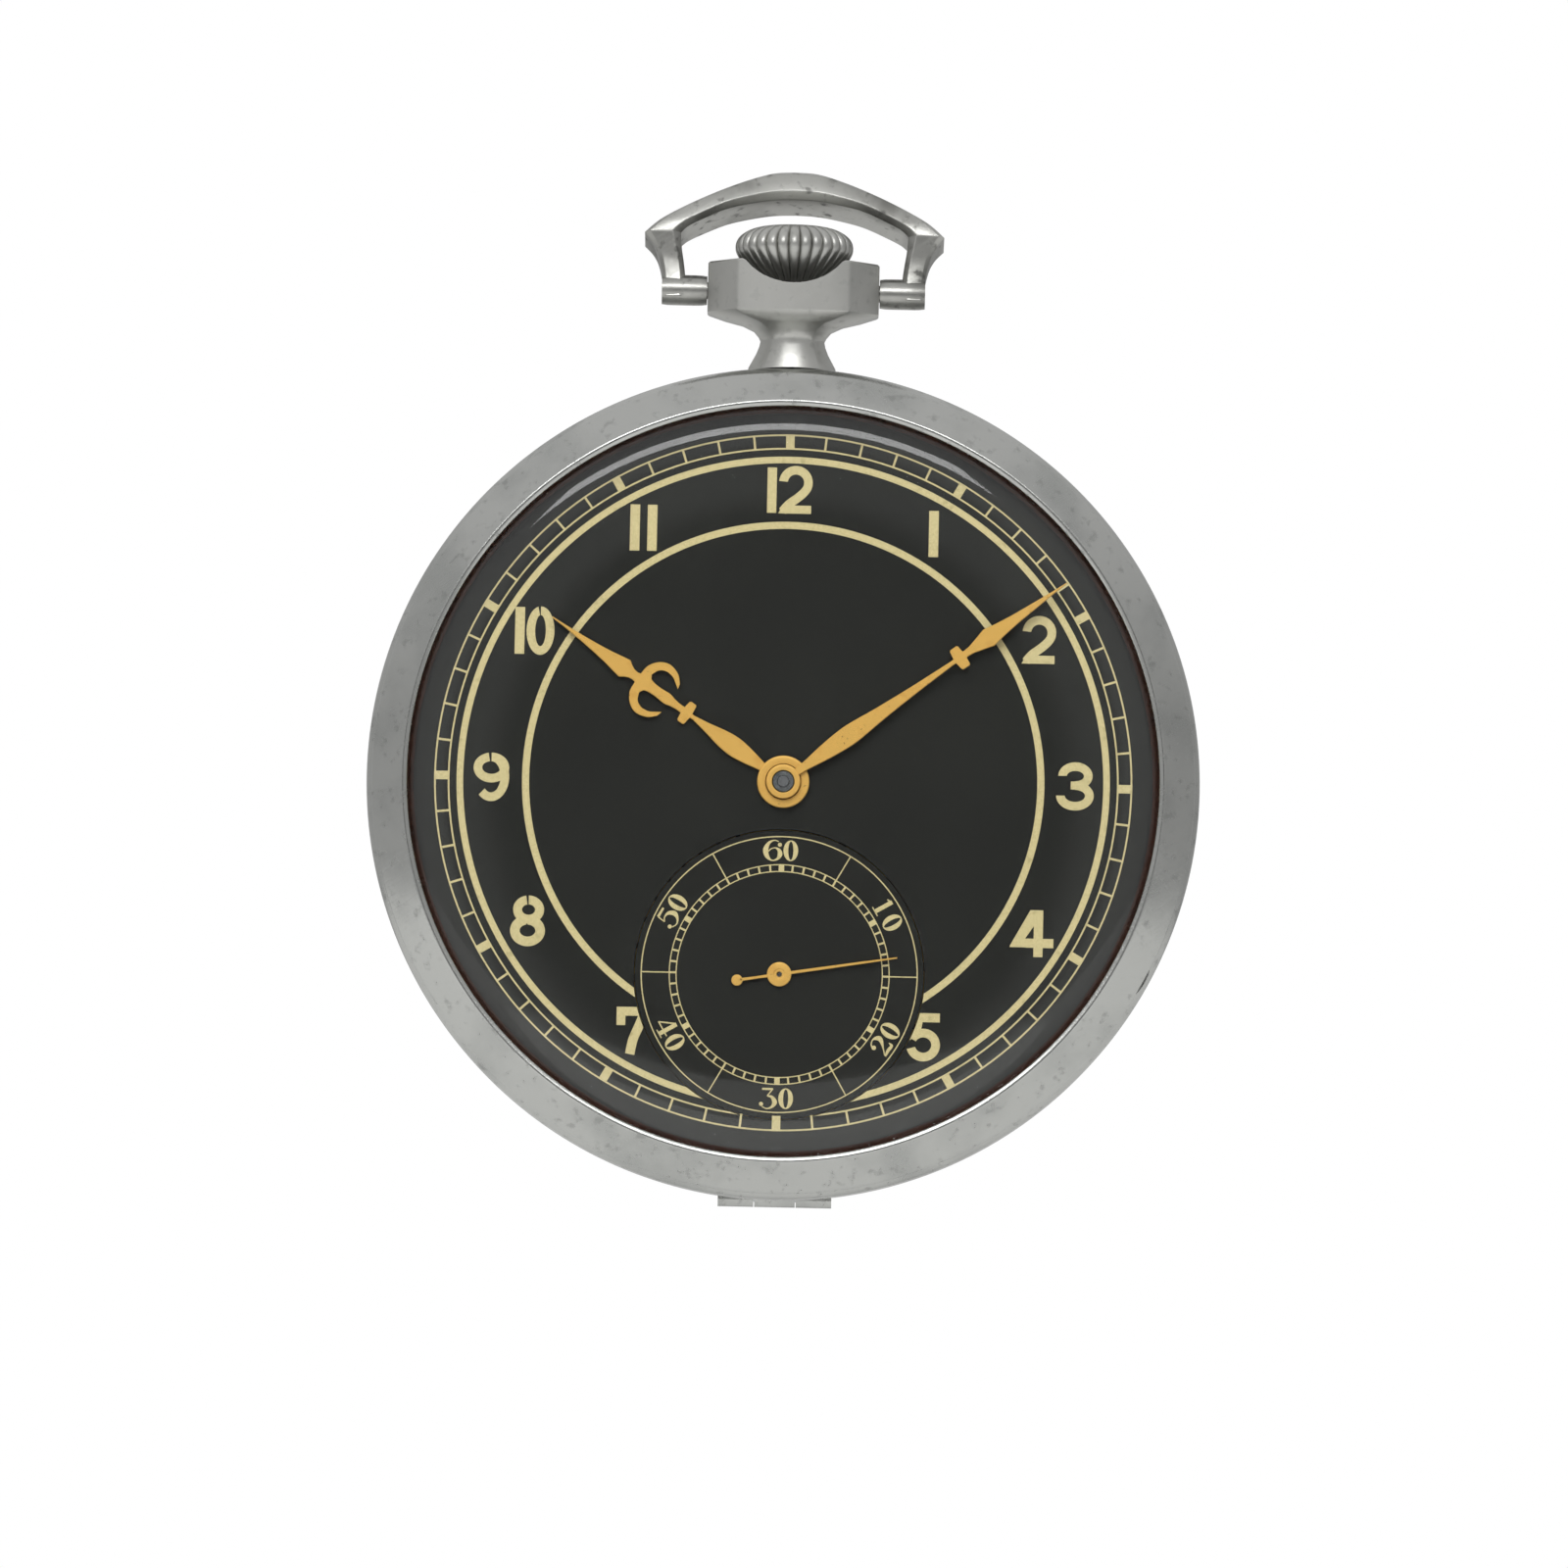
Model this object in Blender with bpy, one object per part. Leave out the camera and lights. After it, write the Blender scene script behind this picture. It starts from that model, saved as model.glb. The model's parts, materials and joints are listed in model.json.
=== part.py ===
"""Open face pocket watch: snap bezel, hinged back, keyless winding and a jewelled lever movement.

Frame: the dial faces -Y, +Z points to twelve o'clock and +X to three o'clock. The origin is the
middle of the flat back face, on the axis of the hands. A "height" is a distance in front of that
face, so height h lies at y = -h. Places in the movement are (x, z) pairs as seen from the dial.
"""

from math import acos, asin, atan2, cos, degrees, hypot, pi, radians, sin, sqrt

import bmesh
import bpy
from mathutils import Matrix

MM = 0.001

# ---- driving dimensions: case -------------------------------------------------------------
CASE_R = 24.5 * MM
BEZEL_R = CASE_R - 0.33 * MM
APERTURE_R = CASE_R - 2.46 * MM
WALL = 0.45 * MM
BACK_FLAT_R = 12.0 * MM
BACK_EDGE_H = 2.2 * MM
BAND_TOP_H = 6.95 * MM
BEZEL_FACE_H = BAND_TOP_H + 0.45 * MM
BEZEL_LIP_H = BEZEL_FACE_H + 1.3 * MM
CRYSTAL_EDGE = 0.4 * MM
CRYSTAL_RISE = 1.2 * MM
CASE_INNER_R = CASE_R - 2.6 * MM
FIT = 0.05 * MM
SNAP_FIT = 0.1 * MM
CASE_SIDES = 40

# ---- pendant, bow and crown ----------------------------------------------------------------
STEM_H = 4.2 * MM
PIVOT_Z = CASE_R + 4.7 * MM
BLOCK_HALF_X = 5.06 * MM
BLOCK_HALF_Y = 3.3 * MM
NECK_R = 1.95 * MM
BOW_PIN_R = 0.5 * MM
BOW_BARREL_R = 0.9 * MM
BOW_LEAN_DEG = 17.0
CROWN_R = 3.5 * MM
CROWN_FLUTES = 30
STEM_R = 0.55 * MM
CROWN_PULL = 1.0 * MM

# ---- dial and hands ------------------------------------------------------------------------
DIAL_R = APERTURE_R + 0.56 * MM
DIAL_LOW_H = 6.6 * MM
DIAL_THICK = 0.4 * MM
SECONDS_Z = -11.3 * MM
SUBDIAL_R = 8.5 * MM
HOUR_HAND_LENGTH = 16.7 * MM
MINUTE_HAND_LENGTH = 20.35 * MM
SECOND_HAND_LENGTH = 7.0 * MM
HOUR_ANGLE_DEG = 304.4
MINUTE_ANGLE_DEG = 53.8
SECOND_ANGLE_DEG = 80.9
HAND_THICK = 0.14 * MM

# ---- movement ------------------------------------------------------------------------------
PLATE_R = CASE_INNER_R - 0.3 * MM
PLATE_LOW_H = 4.6 * MM
PLATE_TOP_H = 5.9 * MM
BRIDGE_R = PLATE_R - 1.6 * MM
BRIDGE_LOW_H = 1.2 * MM
BRIDGE_THICK = 0.65 * MM
ARBOR_R = 0.32 * MM
CANNON_R = 0.60 * MM
HOUR_PIPE_R = 0.98 * MM
TOOTH_GAP = 0.06 * MM
WHEEL_THICK = 0.2 * MM
MOTION_LOW_H = 5.97 * MM
BALANCE_R = 6.5 * MM
ESCAPE_R = 3.2 * MM
BARREL_R = 7.9 * MM

# tooth counts
CENTRE_TEETH, THIRD_PINION = 48, 6
THIRD_TEETH, FOURTH_PINION = 45, 6
FOURTH_TEETH, ESCAPE_PINION = 60, 6
BARREL_TEETH, CENTRE_PINION = 54, 8
CANNON_TEETH, MINUTE_TEETH = 10, 30
MINUTE_PINION, HOUR_TEETH = 8, 32
SETTING_TEETH = 20
RATCHET_TEETH, CROWN_WHEEL_TEETH, WINDING_TEETH = 40, 18, 11
COARSE_TEETH = 20
ESCAPE_TEETH = 15

# centre distances that set the train
CENTRE_TO_THIRD = 6.84 * MM
THIRD_TO_FOURTH = 5.44 * MM
FOURTH_TO_ESCAPE = 5.2 * MM
CENTRE_TO_BARREL = 9.43 * MM
CENTRE_TO_MINUTE = 4.2 * MM
BARREL_ANGLE_DEG = 142.0
ESCAPE_ANGLE_DEG = 20.0
BALANCE_AT = (12.6 * MM, -3.0 * MM)
CROWN_WHEEL_Z = 14.0 * MM


# ---- places worked out from those values ---------------------------------------------------
def polar(centre, distance, angle):
    return centre[0] + distance * cos(angle), centre[1] + distance * sin(angle)


def direction(a, b):
    return atan2(b[1] - a[1], b[0] - a[0])


def distance(a, b):
    return hypot(b[0] - a[0], b[1] - a[1])


def third_place():
    """The third wheel meshes on both sides, so it sits at the corner of a triangle."""
    drop = -SECONDS_Z
    cosine = (CENTRE_TO_THIRD**2 + drop**2 - THIRD_TO_FOURTH**2) / (2 * CENTRE_TO_THIRD * drop)
    return polar(CENTRE, CENTRE_TO_THIRD, radians(-90) - acos(cosine))


CENTRE = (0.0, 0.0)
FOURTH = (0.0, SECONDS_Z)
THIRD = third_place()
ESCAPE = polar(FOURTH, FOURTH_TO_ESCAPE, radians(ESCAPE_ANGLE_DEG))
BARREL = polar(CENTRE, CENTRE_TO_BARREL, radians(BARREL_ANGLE_DEG))
LINE_OF_CENTRES = direction(ESCAPE, BALANCE_AT)
ESCAPE_TO_PALLET = ESCAPE_R * 1.155
PALLET = polar(ESCAPE, ESCAPE_TO_PALLET, LINE_OF_CENTRES)
CROWN_WHEEL = (0.0, CROWN_WHEEL_Z)
MINUTE_WHEEL = polar(CENTRE, CENTRE_TO_MINUTE, radians(75))
MOTION_MODULE = 2 * CENTRE_TO_MINUTE / (CANNON_TEETH + MINUTE_TEETH)
SETTING_R = MOTION_MODULE * SETTING_TEETH / 2
SETTING_WHEEL = polar(MINUTE_WHEEL, MOTION_MODULE * (MINUTE_TEETH + SETTING_TEETH) / 2, radians(98))
RATCHET_R = distance(BARREL, CROWN_WHEEL) * RATCHET_TEETH / (RATCHET_TEETH + CROWN_WHEEL_TEETH)
CROWN_WHEEL_R = distance(BARREL, CROWN_WHEEL) - RATCHET_R

# layers of the movement, counted from the back
WINDING_LOW_H = BRIDGE_LOW_H + BRIDGE_THICK + 0.1 * MM
WINDING_TOP_H = WINDING_LOW_H + 0.35 * MM
CENTRE_WHEEL_H = WINDING_TOP_H + 0.1 * MM
BARREL_LOW_H = CENTRE_WHEEL_H + WHEEL_THICK + 0.1 * MM
BARREL_TOP_H = PLATE_LOW_H - 0.1 * MM
THIRD_WHEEL_H = 3.1 * MM
ESCAPE_WHEEL_H = 3.4 * MM
FOURTH_WHEEL_H = 3.8 * MM
BALANCE_LOW_H = 2.15 * MM
BALANCE_TOP_H = 2.75 * MM
WINDING_PINION_R = STEM_H - WINDING_TOP_H + 0.09 * MM
WINDING_PINION_Z = (15.9 * MM, 17.5 * MM)
CLUTCH_R = STEM_H - WINDING_TOP_H - 0.3 * MM
CLUTCH_Z = (12.7 * MM, 15.7 * MM)
NOTCH_HALF = WINDING_PINION_R + 0.2 * MM
HOUR_HAND_H = DIAL_LOW_H + DIAL_THICK + 0.27 * MM
MINUTE_HAND_H = HOUR_HAND_H + 0.35 * MM
SECOND_HAND_H = DIAL_LOW_H + DIAL_THICK + 0.06 * MM
LEVER_H = (MOTION_LOW_H, MOTION_LOW_H + 0.22 * MM)


# ---- outlines, each a list of (x, z) -------------------------------------------------------
def circle(centre, radius, count=16, start=0.0):
    return [polar(centre, radius, start + 2 * pi * i / count) for i in range(count)]


def arc(centre, radius, start_deg, end_deg, steps):
    span = radians(end_deg - start_deg)
    return [polar(centre, radius, radians(start_deg) + span * i / steps) for i in range(steps + 1)]


def gear(centre, teeth, root, tip, phase):
    """Pointed watch teeth, one of them at the phase angle. Fine teeth meet at their roots."""
    pitch = 2 * pi / teeth
    points = []
    for i in range(teeth):
        middle = phase + pitch * i
        if teeth > COARSE_TEETH:
            points.append(polar(centre, root, middle - 0.5 * pitch))
            points.append(polar(centre, tip, middle))
        else:
            points.append(polar(centre, root, middle - 0.3 * pitch))
            points.append(polar(centre, tip, middle))
            points.append(polar(centre, root, middle + 0.3 * pitch))
    return points


def toothed(centre, teeth, pitch_r, phase):
    """Teeth that reach half a tooth past the pitch circle and keep TOOTH_GAP in mesh."""
    addendum = 0.9 * pitch_r / teeth * 2 - TOOTH_GAP / 2
    return gear(centre, teeth, pitch_r - addendum - TOOTH_GAP, pitch_r + addendum, phase)


def meshed(teeth_a, phase_a, teeth_b, heading):
    """The phase of wheel b in mesh with wheel a, where heading is the direction from a to b."""
    passed = (heading - phase_a) * teeth_a / (2 * pi)
    return heading + pi - (0.5 - passed) * 2 * pi / teeth_b


def window(centre, inner, outer, start, end):
    """A gap between two arms of a wheel."""
    points = []
    steps = max(3, int((end - start) / 0.3))
    for i in range(steps + 1):
        points.append(polar(centre, outer, start + (end - start) * i / steps))
    return points + [polar(centre, inner, end - 0.1), polar(centre, inner, start + 0.1)]


def windows(centre, inner, outer, arms, start=0.0):
    step = 2 * pi / arms
    return [
        window(centre, inner, outer, start + i * step + 0.14, start + (i + 1) * step - 0.14)
        for i in range(arms)
    ]


def bar(start, end, half):
    """A straight bar with round ends."""
    along = direction(start, end)
    turn = degrees(along)
    return arc(end, half, turn - 90, turn + 90, 5) + arc(start, half, turn + 90, turn + 270, 5)


# ---- meshes --------------------------------------------------------------------------------
def at_height(outline, height):
    return [(x, -height, z) for x, z in outline]


def lofted(rings, closed=False):
    """Skin over rings of equally many points; the ends are capped, or the rings form a loop."""
    mesh = bmesh.new()
    rows = [[mesh.verts.new(p) for p in ring] for ring in rings]
    count = len(rows[0])
    pairs = list(zip(rows, rows[1:]))
    if closed:
        pairs.append((rows[-1], rows[0]))
    for a, b in pairs:
        for i in range(count):
            j = (i + 1) % count
            mesh.faces.new((a[i], a[j], b[j], b[i]))
    if not closed:
        mesh.faces.new(rows[0][::-1])
        mesh.faces.new(rows[-1])
    return mesh


def stack(levels, closed=False):
    """Rings from (outline, height) pairs."""
    return lofted([at_height(outline, height) for outline, height in levels], closed)


def turned(centre, profile, sides=16, closed=False):
    """A shape turned about an axis along Y, from (radius, height) pairs."""
    return stack([(circle(centre, r, sides), h) for r, h in profile], closed)


def turned_upright(profile, sides=16, closed=False):
    """A shape turned about the winding stem's axis, from (radius, z) pairs."""
    rings = []
    for r, z in profile:
        rings.append([(x, y - STEM_H, z) for x, y in circle(CENTRE, r, sides)])
    return lofted(rings, closed)


def plate(outline, holes, low, high):
    """A flat piece with holes, from its outlines."""
    mesh = bmesh.new()
    edges = []
    for loop in [outline, *holes]:
        corners = [mesh.verts.new((x, -low, z)) for x, z in loop]
        for i, corner in enumerate(corners):
            edges.append(mesh.edges.new((corner, corners[(i + 1) % len(corners)])))
    filled = bmesh.ops.triangle_fill(mesh, edges=edges, use_beauty=True)
    faces = [f for f in filled["geom"] if isinstance(f, bmesh.types.BMFace)]
    lifted = bmesh.ops.extrude_face_region(mesh, geom=faces, use_keep_orig=True)
    moved = [v for v in lifted["geom"] if isinstance(v, bmesh.types.BMVert)]
    bmesh.ops.translate(mesh, verts=moved, vec=(0, low - high, 0))
    return mesh


# ---- objects -------------------------------------------------------------------------------
def metal(name, colour, roughness, metallic=1.0):
    material = bpy.data.materials.new(name)
    material.use_nodes = True
    shader = material.node_tree.nodes["Principled BSDF"]
    shader.inputs["Base Color"].default_value = (*colour, 1.0)
    shader.inputs["Roughness"].default_value = roughness
    shader.inputs["Metallic"].default_value = metallic
    return material


FINISHES = {
    "nickel": ((0.55, 0.56, 0.54), 0.35, 1.0),
    "steel": ((0.45, 0.46, 0.47), 0.3, 1.0),
    "blue": ((0.08, 0.12, 0.35), 0.3, 1.0),
    "brass": ((0.72, 0.55, 0.25), 0.35, 1.0),
    "gold": ((0.83, 0.62, 0.28), 0.35, 1.0),
    "gilt": ((0.75, 0.62, 0.38), 0.4, 1.0),
    "black": ((0.03, 0.03, 0.028), 0.45, 0.0),
    "clear": ((0.9, 0.93, 0.93), 0.05, 0.0),
}


def piece(name, mesh, finish, axis=None, sharp=35.0):
    """One named object; a moving piece passes a point on its joint's axis as its origin."""
    bmesh.ops.recalc_face_normals(mesh, faces=mesh.faces)
    origin = axis or (0.0, 0.0, 0.0)
    bmesh.ops.translate(mesh, verts=mesh.verts, vec=[-c for c in origin])
    data = bpy.data.meshes.new(name)
    mesh.to_mesh(data)
    mesh.free()
    data.shade_smooth()
    data.set_sharp_from_angle(angle=radians(sharp))
    data.materials.append(metal(name, *FINISHES[finish]))
    thing = bpy.data.objects.new(name, data)
    thing.location = origin
    bpy.context.scene.collection.objects.link(thing)
    return thing


def tool(mesh):
    """A hidden shape that cuts or fills another."""
    thing = piece("tool", mesh, "steel")
    thing.hide_render = True
    thing.display_type = "WIRE"
    return thing


def combine(thing, mesh, operation):
    modifier = thing.modifiers.new(operation.lower(), "BOOLEAN")
    modifier.operation = operation
    modifier.object = tool(mesh)
    modifier.solver = "EXACT"


def cut(thing, mesh):
    combine(thing, mesh, "DIFFERENCE")


def fill(thing, mesh):
    combine(thing, mesh, "UNION")


def on_axis(place, height=0.0):
    return place[0], -height, place[1]


# ---- case ----------------------------------------------------------------------------------
RIM_R = BEZEL_R - 0.77 * MM
BACK_R = CASE_R - 0.35 * MM
BACK_RIM_R = BACK_R - 0.85 * MM
HINGE_Z = -(BACK_R + 0.22 * MM)
HINGE_H = BACK_EDGE_H + 0.1 * MM
HINGE_R = 0.5 * MM
HINGE_PIN_R = 0.2 * MM
HINGE_HALF = 3.35 * MM
KNUCKLE_HALF = 1.2 * MM


def knuckle(x_low, x_high, radius=HINGE_R):
    rings = []
    for x in (x_low, x_high):
        rings.append([(x, -HINGE_H + a, HINGE_Z + b) for a, b in circle(CENTRE, radius, 10)])
    return lofted(rings)


def make_case_middle():
    seat_r = DIAL_R + 0.15 * MM
    front_rim_h = BAND_TOP_H + 0.6 * MM
    seat_h = DIAL_LOW_H - 0.1 * MM
    lip_r = PLATE_R - 0.6 * MM
    band_low = BACK_EDGE_H + 0.15 * MM
    profile = [
        (BACK_R, band_low),
        (CASE_R, band_low + 0.6 * MM),
        (CASE_R, BAND_TOP_H - 0.55 * MM),
        (BEZEL_R, BAND_TOP_H),
        (RIM_R - SNAP_FIT, BAND_TOP_H),
        (RIM_R - SNAP_FIT, front_rim_h),
        (seat_r, front_rim_h),
        (seat_r, seat_h),
        (CASE_INNER_R, seat_h),
        (CASE_INNER_R, PLATE_LOW_H - 0.1 * MM),
        (lip_r, PLATE_LOW_H - 0.1 * MM),
        (lip_r, PLATE_LOW_H - 0.7 * MM),
        (BACK_RIM_R - 0.5 * MM, PLATE_LOW_H - 0.9 * MM),
        (BACK_RIM_R - 0.5 * MM, BACK_EDGE_H - 0.35 * MM),
        (BACK_RIM_R - SNAP_FIT, BACK_EDGE_H - 0.35 * MM),
        (BACK_RIM_R - SNAP_FIT, band_low),
    ]
    case = piece("case_middle", turned(CENTRE, profile, CASE_SIDES, True), "nickel")
    for side in (-1, 1):
        ends = sorted((side * HINGE_HALF, side * (KNUCKLE_HALF + FIT)))
        fill(case, knuckle(*ends))
    cut(case, knuckle(-KNUCKLE_HALF - FIT, KNUCKLE_HALF + FIT, HINGE_R + SNAP_FIT))
    cut(case, knuckle(-5 * MM, 5 * MM, HINGE_PIN_R + 0.02 * MM))
    bore = STEM_R + 0.2 * MM
    cut(case, turned_upright([(bore, CASE_INNER_R - 2.9 * MM), (bore, CASE_R + 2.5 * MM)]))


def back_curve(wall, edge_r, edge_h):
    """The back is flat in the middle and rolls up to its edge on a quarter ellipse."""
    points = []
    steps = 5
    for i in range(steps + 1):
        turn = radians(90) * i / steps
        r = BACK_FLAT_R + (edge_r - BACK_FLAT_R) * sin(turn)
        points.append((r, wall + (edge_h - wall) * (1 - cos(turn))))
    return points


def make_back_cover():
    inner_r = BACK_RIM_R
    outer = [(0.05 * MM, 0.0), *back_curve(0.0, BACK_R, BACK_EDGE_H)]
    inner = [(inner_r, BACK_EDGE_H), *back_curve(WALL, inner_r, BACK_EDGE_H - WALL)[::-1]]
    profile = [*outer, *inner, (0.05 * MM, WALL)]
    hinge = (0.0, -HINGE_H, HINGE_Z)
    back = piece("back_cover", turned(CENTRE, profile, CASE_SIDES), "nickel", hinge)
    fill(back, knuckle(-KNUCKLE_HALF, KNUCKLE_HALF))
    cut(back, knuckle(-5 * MM, 5 * MM, HINGE_PIN_R + 0.02 * MM))
    for side in (-1, 1):
        ends = sorted((side * (HINGE_HALF + FIT), side * KNUCKLE_HALF))
        cut(back, knuckle(*ends, HINGE_R + SNAP_FIT))
    piece("back_hinge_pin", knuckle(-HINGE_HALF, HINGE_HALF, HINGE_PIN_R), "steel")


def make_bezel():
    groove_r = APERTURE_R + 0.5 * MM
    groove_h = BEZEL_LIP_H - 0.4 * MM
    profile = [
        (BEZEL_R, BAND_TOP_H + SNAP_FIT),
        (BEZEL_R, BEZEL_FACE_H),
        (APERTURE_R + 0.15 * MM, BEZEL_LIP_H),
        (APERTURE_R, BEZEL_LIP_H - 0.08 * MM),
        (APERTURE_R, groove_h),
        (groove_r, groove_h),
        (groove_r, groove_h - CRYSTAL_EDGE - 2 * SNAP_FIT),
        (RIM_R, groove_h - CRYSTAL_EDGE - 3 * SNAP_FIT),
        (RIM_R, BAND_TOP_H + SNAP_FIT),
    ]
    piece("bezel", turned(CENTRE, profile, CASE_SIDES, True), "nickel")
    edge_r = groove_r - SNAP_FIT
    low = groove_h - CRYSTAL_EDGE - SNAP_FIT / 2
    rise = [(edge_r * share, CRYSTAL_RISE * (1 - share**2)) for share in (0.004, 0.3, 0.6, 0.82, 0.96)]
    outside = [(r, low + CRYSTAL_EDGE + h) for r, h in rise] + [(edge_r, low + CRYSTAL_EDGE)]
    inside = [(edge_r, low)] + [(r, low + h) for r, h in rise[::-1]]
    piece("crystal", turned(CENTRE, outside + inside, CASE_SIDES), "clear")


# ---- pendant, bow and crown ----------------------------------------------------------------
SCOOP_R = 4.6 * MM
SCOOP_RISE = 3.84 * MM


def pendant_ring(half_x, half_y, z, facet=1.0):
    """Sixteen points: flat ends, slanted facets and bowed faces, or an ellipse at facet 0."""
    shares = [(1, 0.28), (1, 0.58), (0.66, 0.9), (0.34, 0.98), (0, 1)]
    half = shares + [(-x, y) for x, y in shares[-2::-1]]
    around = half + [(x, -y) for x, y in half[::-1]]
    points = []
    for i, (x, y) in enumerate(around):
        angle = atan2(y, x)
        x = facet * x + (1 - facet) * cos(angle)
        y = facet * y + (1 - facet) * sin(angle)
        points.append((x * half_x, y * half_y - STEM_H, z))
    return points


def make_pendant():
    top = PIVOT_Z + 1.7 * MM
    rings = [
        pendant_ring(2.7 * MM, 2.2 * MM, CASE_R - 1.2 * MM, 0.0),
        pendant_ring(2.7 * MM, 2.2 * MM, CASE_R - 0.1 * MM, 0.0),
        pendant_ring(2.35 * MM, 2.0 * MM, CASE_R + 0.7 * MM, 0.0),
        pendant_ring(NECK_R, NECK_R, CASE_R + 1.7 * MM, 0.0),
        pendant_ring(NECK_R, NECK_R, PIVOT_Z - 2.75 * MM, 0.0),
        pendant_ring(2.33 * MM, 2.2 * MM, PIVOT_Z - 2.36 * MM, 0.3),
        pendant_ring(BLOCK_HALF_X, BLOCK_HALF_Y, PIVOT_Z - 1.2 * MM),
        pendant_ring(BLOCK_HALF_X, BLOCK_HALF_Y, top - 0.3 * MM),
        pendant_ring(0.7 * BLOCK_HALF_X, 0.97 * BLOCK_HALF_Y, top),
    ]
    pendant = piece("pendant", lofted(rings), "nickel")
    clear_r = CASE_R + FIT
    cut(pendant, turned(CENTRE, [(clear_r, 0), (clear_r, 9 * MM)], CASE_SIDES))
    scoop = []
    for i in range(9):
        tilt = radians(-90 + 160 * i / 8)
        scoop.append((max(SCOOP_R * cos(tilt), 0.05 * MM), PIVOT_Z + SCOOP_RISE + SCOOP_R * sin(tilt)))
    cut(pendant, turned_upright(scoop, 28))
    bore = STEM_R + 0.2 * MM
    cut(pendant, turned_upright([(bore, CASE_R - 4.5 * MM), (bore, PIVOT_Z + 3.8 * MM)], 12))
    for side in (-1, 1):
        cut(pendant, cross_pin(side * (BLOCK_HALF_X - 1.45 * MM), side * 9 * MM, BOW_PIN_R + FIT))


def cross_pin(x_from, x_to, radius, sides=12):
    """A cylinder along X on the axis that the bow swings about."""
    rings = []
    for x in sorted((x_from, x_to)):
        rings.append([(x, a - STEM_H, b + PIVOT_Z) for a, b in circle(CENTRE, radius, sides)])
    return lofted(rings)


BOW_STATIONS = [
    # outer (x, rise), inner (x, rise), half depth, in millimetres from the pivot axis
    ((7.72, -0.62), (6.42, -0.62), 0.75),
    ((7.76, 0.6), (6.42, 0.6), 0.85),
    ((8.0, 1.8), (6.52, 1.5), 1.0),
    ((8.35, 2.6), (6.66, 2.4), 1.25),
    ((8.86, 3.25), (6.72, 3.25), 1.5),
    ((7.9, 4.1), (6.3, 3.65), 1.6),
    ((6.3, 5.05), (5.4, 4.15), 1.65),
    ((4.4, 5.98), (4.0, 4.8), 1.7),
    ((2.65, 6.7), (2.4, 5.22), 1.7),
    ((1.25, 7.12), (1.15, 5.42), 1.7),
    ((0.0, 7.2), (0.0, 5.47), 1.7),
]


def bow_section(outer, inner, depth, side):
    """A flat face leaning outwards, with a bevel under it and a flat underside."""
    points = []
    for share, reach in ((0.0, -0.74), (0.28, -1.0), (1.0, -0.86), (1.0, 0.86), (0.28, 1.0), (0.0, 0.74)):
        x = inner[0] + share * (outer[0] - inner[0])
        rise = inner[1] + share * (outer[1] - inner[1])
        points.append((side * x * MM, reach * depth * MM - STEM_H, rise * MM + PIVOT_Z))
    return points


def make_bow():
    half = [bow_section(*station, -1) for station in BOW_STATIONS]
    other = [bow_section(*station, 1) for station in BOW_STATIONS[-2::-1]]
    bow = piece("bow", lofted(half + other), "nickel", (0.0, -STEM_H, PIVOT_Z))
    for side in (-1, 1):
        fill(bow, cross_pin_at_bow(side * 7.7 * MM, side * (BLOCK_HALF_X + FIT), BOW_BARREL_R))
        fill(bow, cross_pin_at_bow(side * 6.0 * MM, side * (BLOCK_HALF_X - 1.3 * MM), BOW_PIN_R))
    bow.rotation_euler.x = radians(-BOW_LEAN_DEG)


def cross_pin_at_bow(x_from, x_to, radius):
    """The bow leans, and its pins lean with it, about the axis that they lie on."""
    mesh = cross_pin(x_from, x_to, radius)
    pivot = Matrix.Translation((0.0, -STEM_H, PIVOT_Z))
    lean = pivot @ Matrix.Rotation(radians(-BOW_LEAN_DEG), 4, "X") @ pivot.inverted()
    bmesh.ops.transform(mesh, matrix=lean, verts=mesh.verts)
    return mesh


def make_crown_and_stem():
    base = PIVOT_Z + 0.15 * MM
    profile = [
        (0.9 * MM, base, 0.0),
        (1.45 * MM, base + 0.1 * MM, 0.0),
        (1.9 * MM, base + 0.55 * MM, 0.06),
        (3.2 * MM, base + 1.75 * MM, 0.08),
        (CROWN_R, base + 2.35 * MM, 0.07),
        (3.3 * MM, base + 3.1 * MM, 0.07),
        (2.5 * MM, base + 3.6 * MM, 0.06),
        (1.3 * MM, base + 3.75 * MM, 0.0),
        (0.05 * MM, base + 3.75 * MM, 0.0),
        (0.05 * MM, base + 2.4 * MM, 0.0),
        (0.62 * MM, base + 2.4 * MM, 0.0),
        (0.62 * MM, base, 0.0),
    ]
    rings = []
    for r, z, flute in profile:
        ring = []
        for i in range(2 * CROWN_FLUTES):
            x, y = polar(CENTRE, r * (1 - flute * (i % 2)), pi * i / CROWN_FLUTES)
            ring.append((x, y - STEM_H, z))
        rings.append(ring)
    piece("crown", lofted(rings, True), "nickel", (0.0, -STEM_H, base))
    groove = LEVER_PIN_Z
    stem = [
        (0.3 * MM, CLUTCH_Z[0] - 0.2 * MM),
        (STEM_R - 0.15 * MM, CLUTCH_Z[0]),
        (STEM_R - 0.15 * MM, WINDING_PINION_Z[0]),
        (STEM_R, WINDING_PINION_Z[0]),
        (STEM_R, groove - 0.35 * MM),
        (0.3 * MM, groove - 0.35 * MM),
        (0.3 * MM, groove + 0.35 * MM),
        (STEM_R, groove + 0.35 * MM),
        (STEM_R, base + 2.3 * MM),
    ]
    piece("winding_stem", turned_upright(stem, 12), "steel", (0.0, -STEM_H, CLUTCH_Z[0]))


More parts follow.
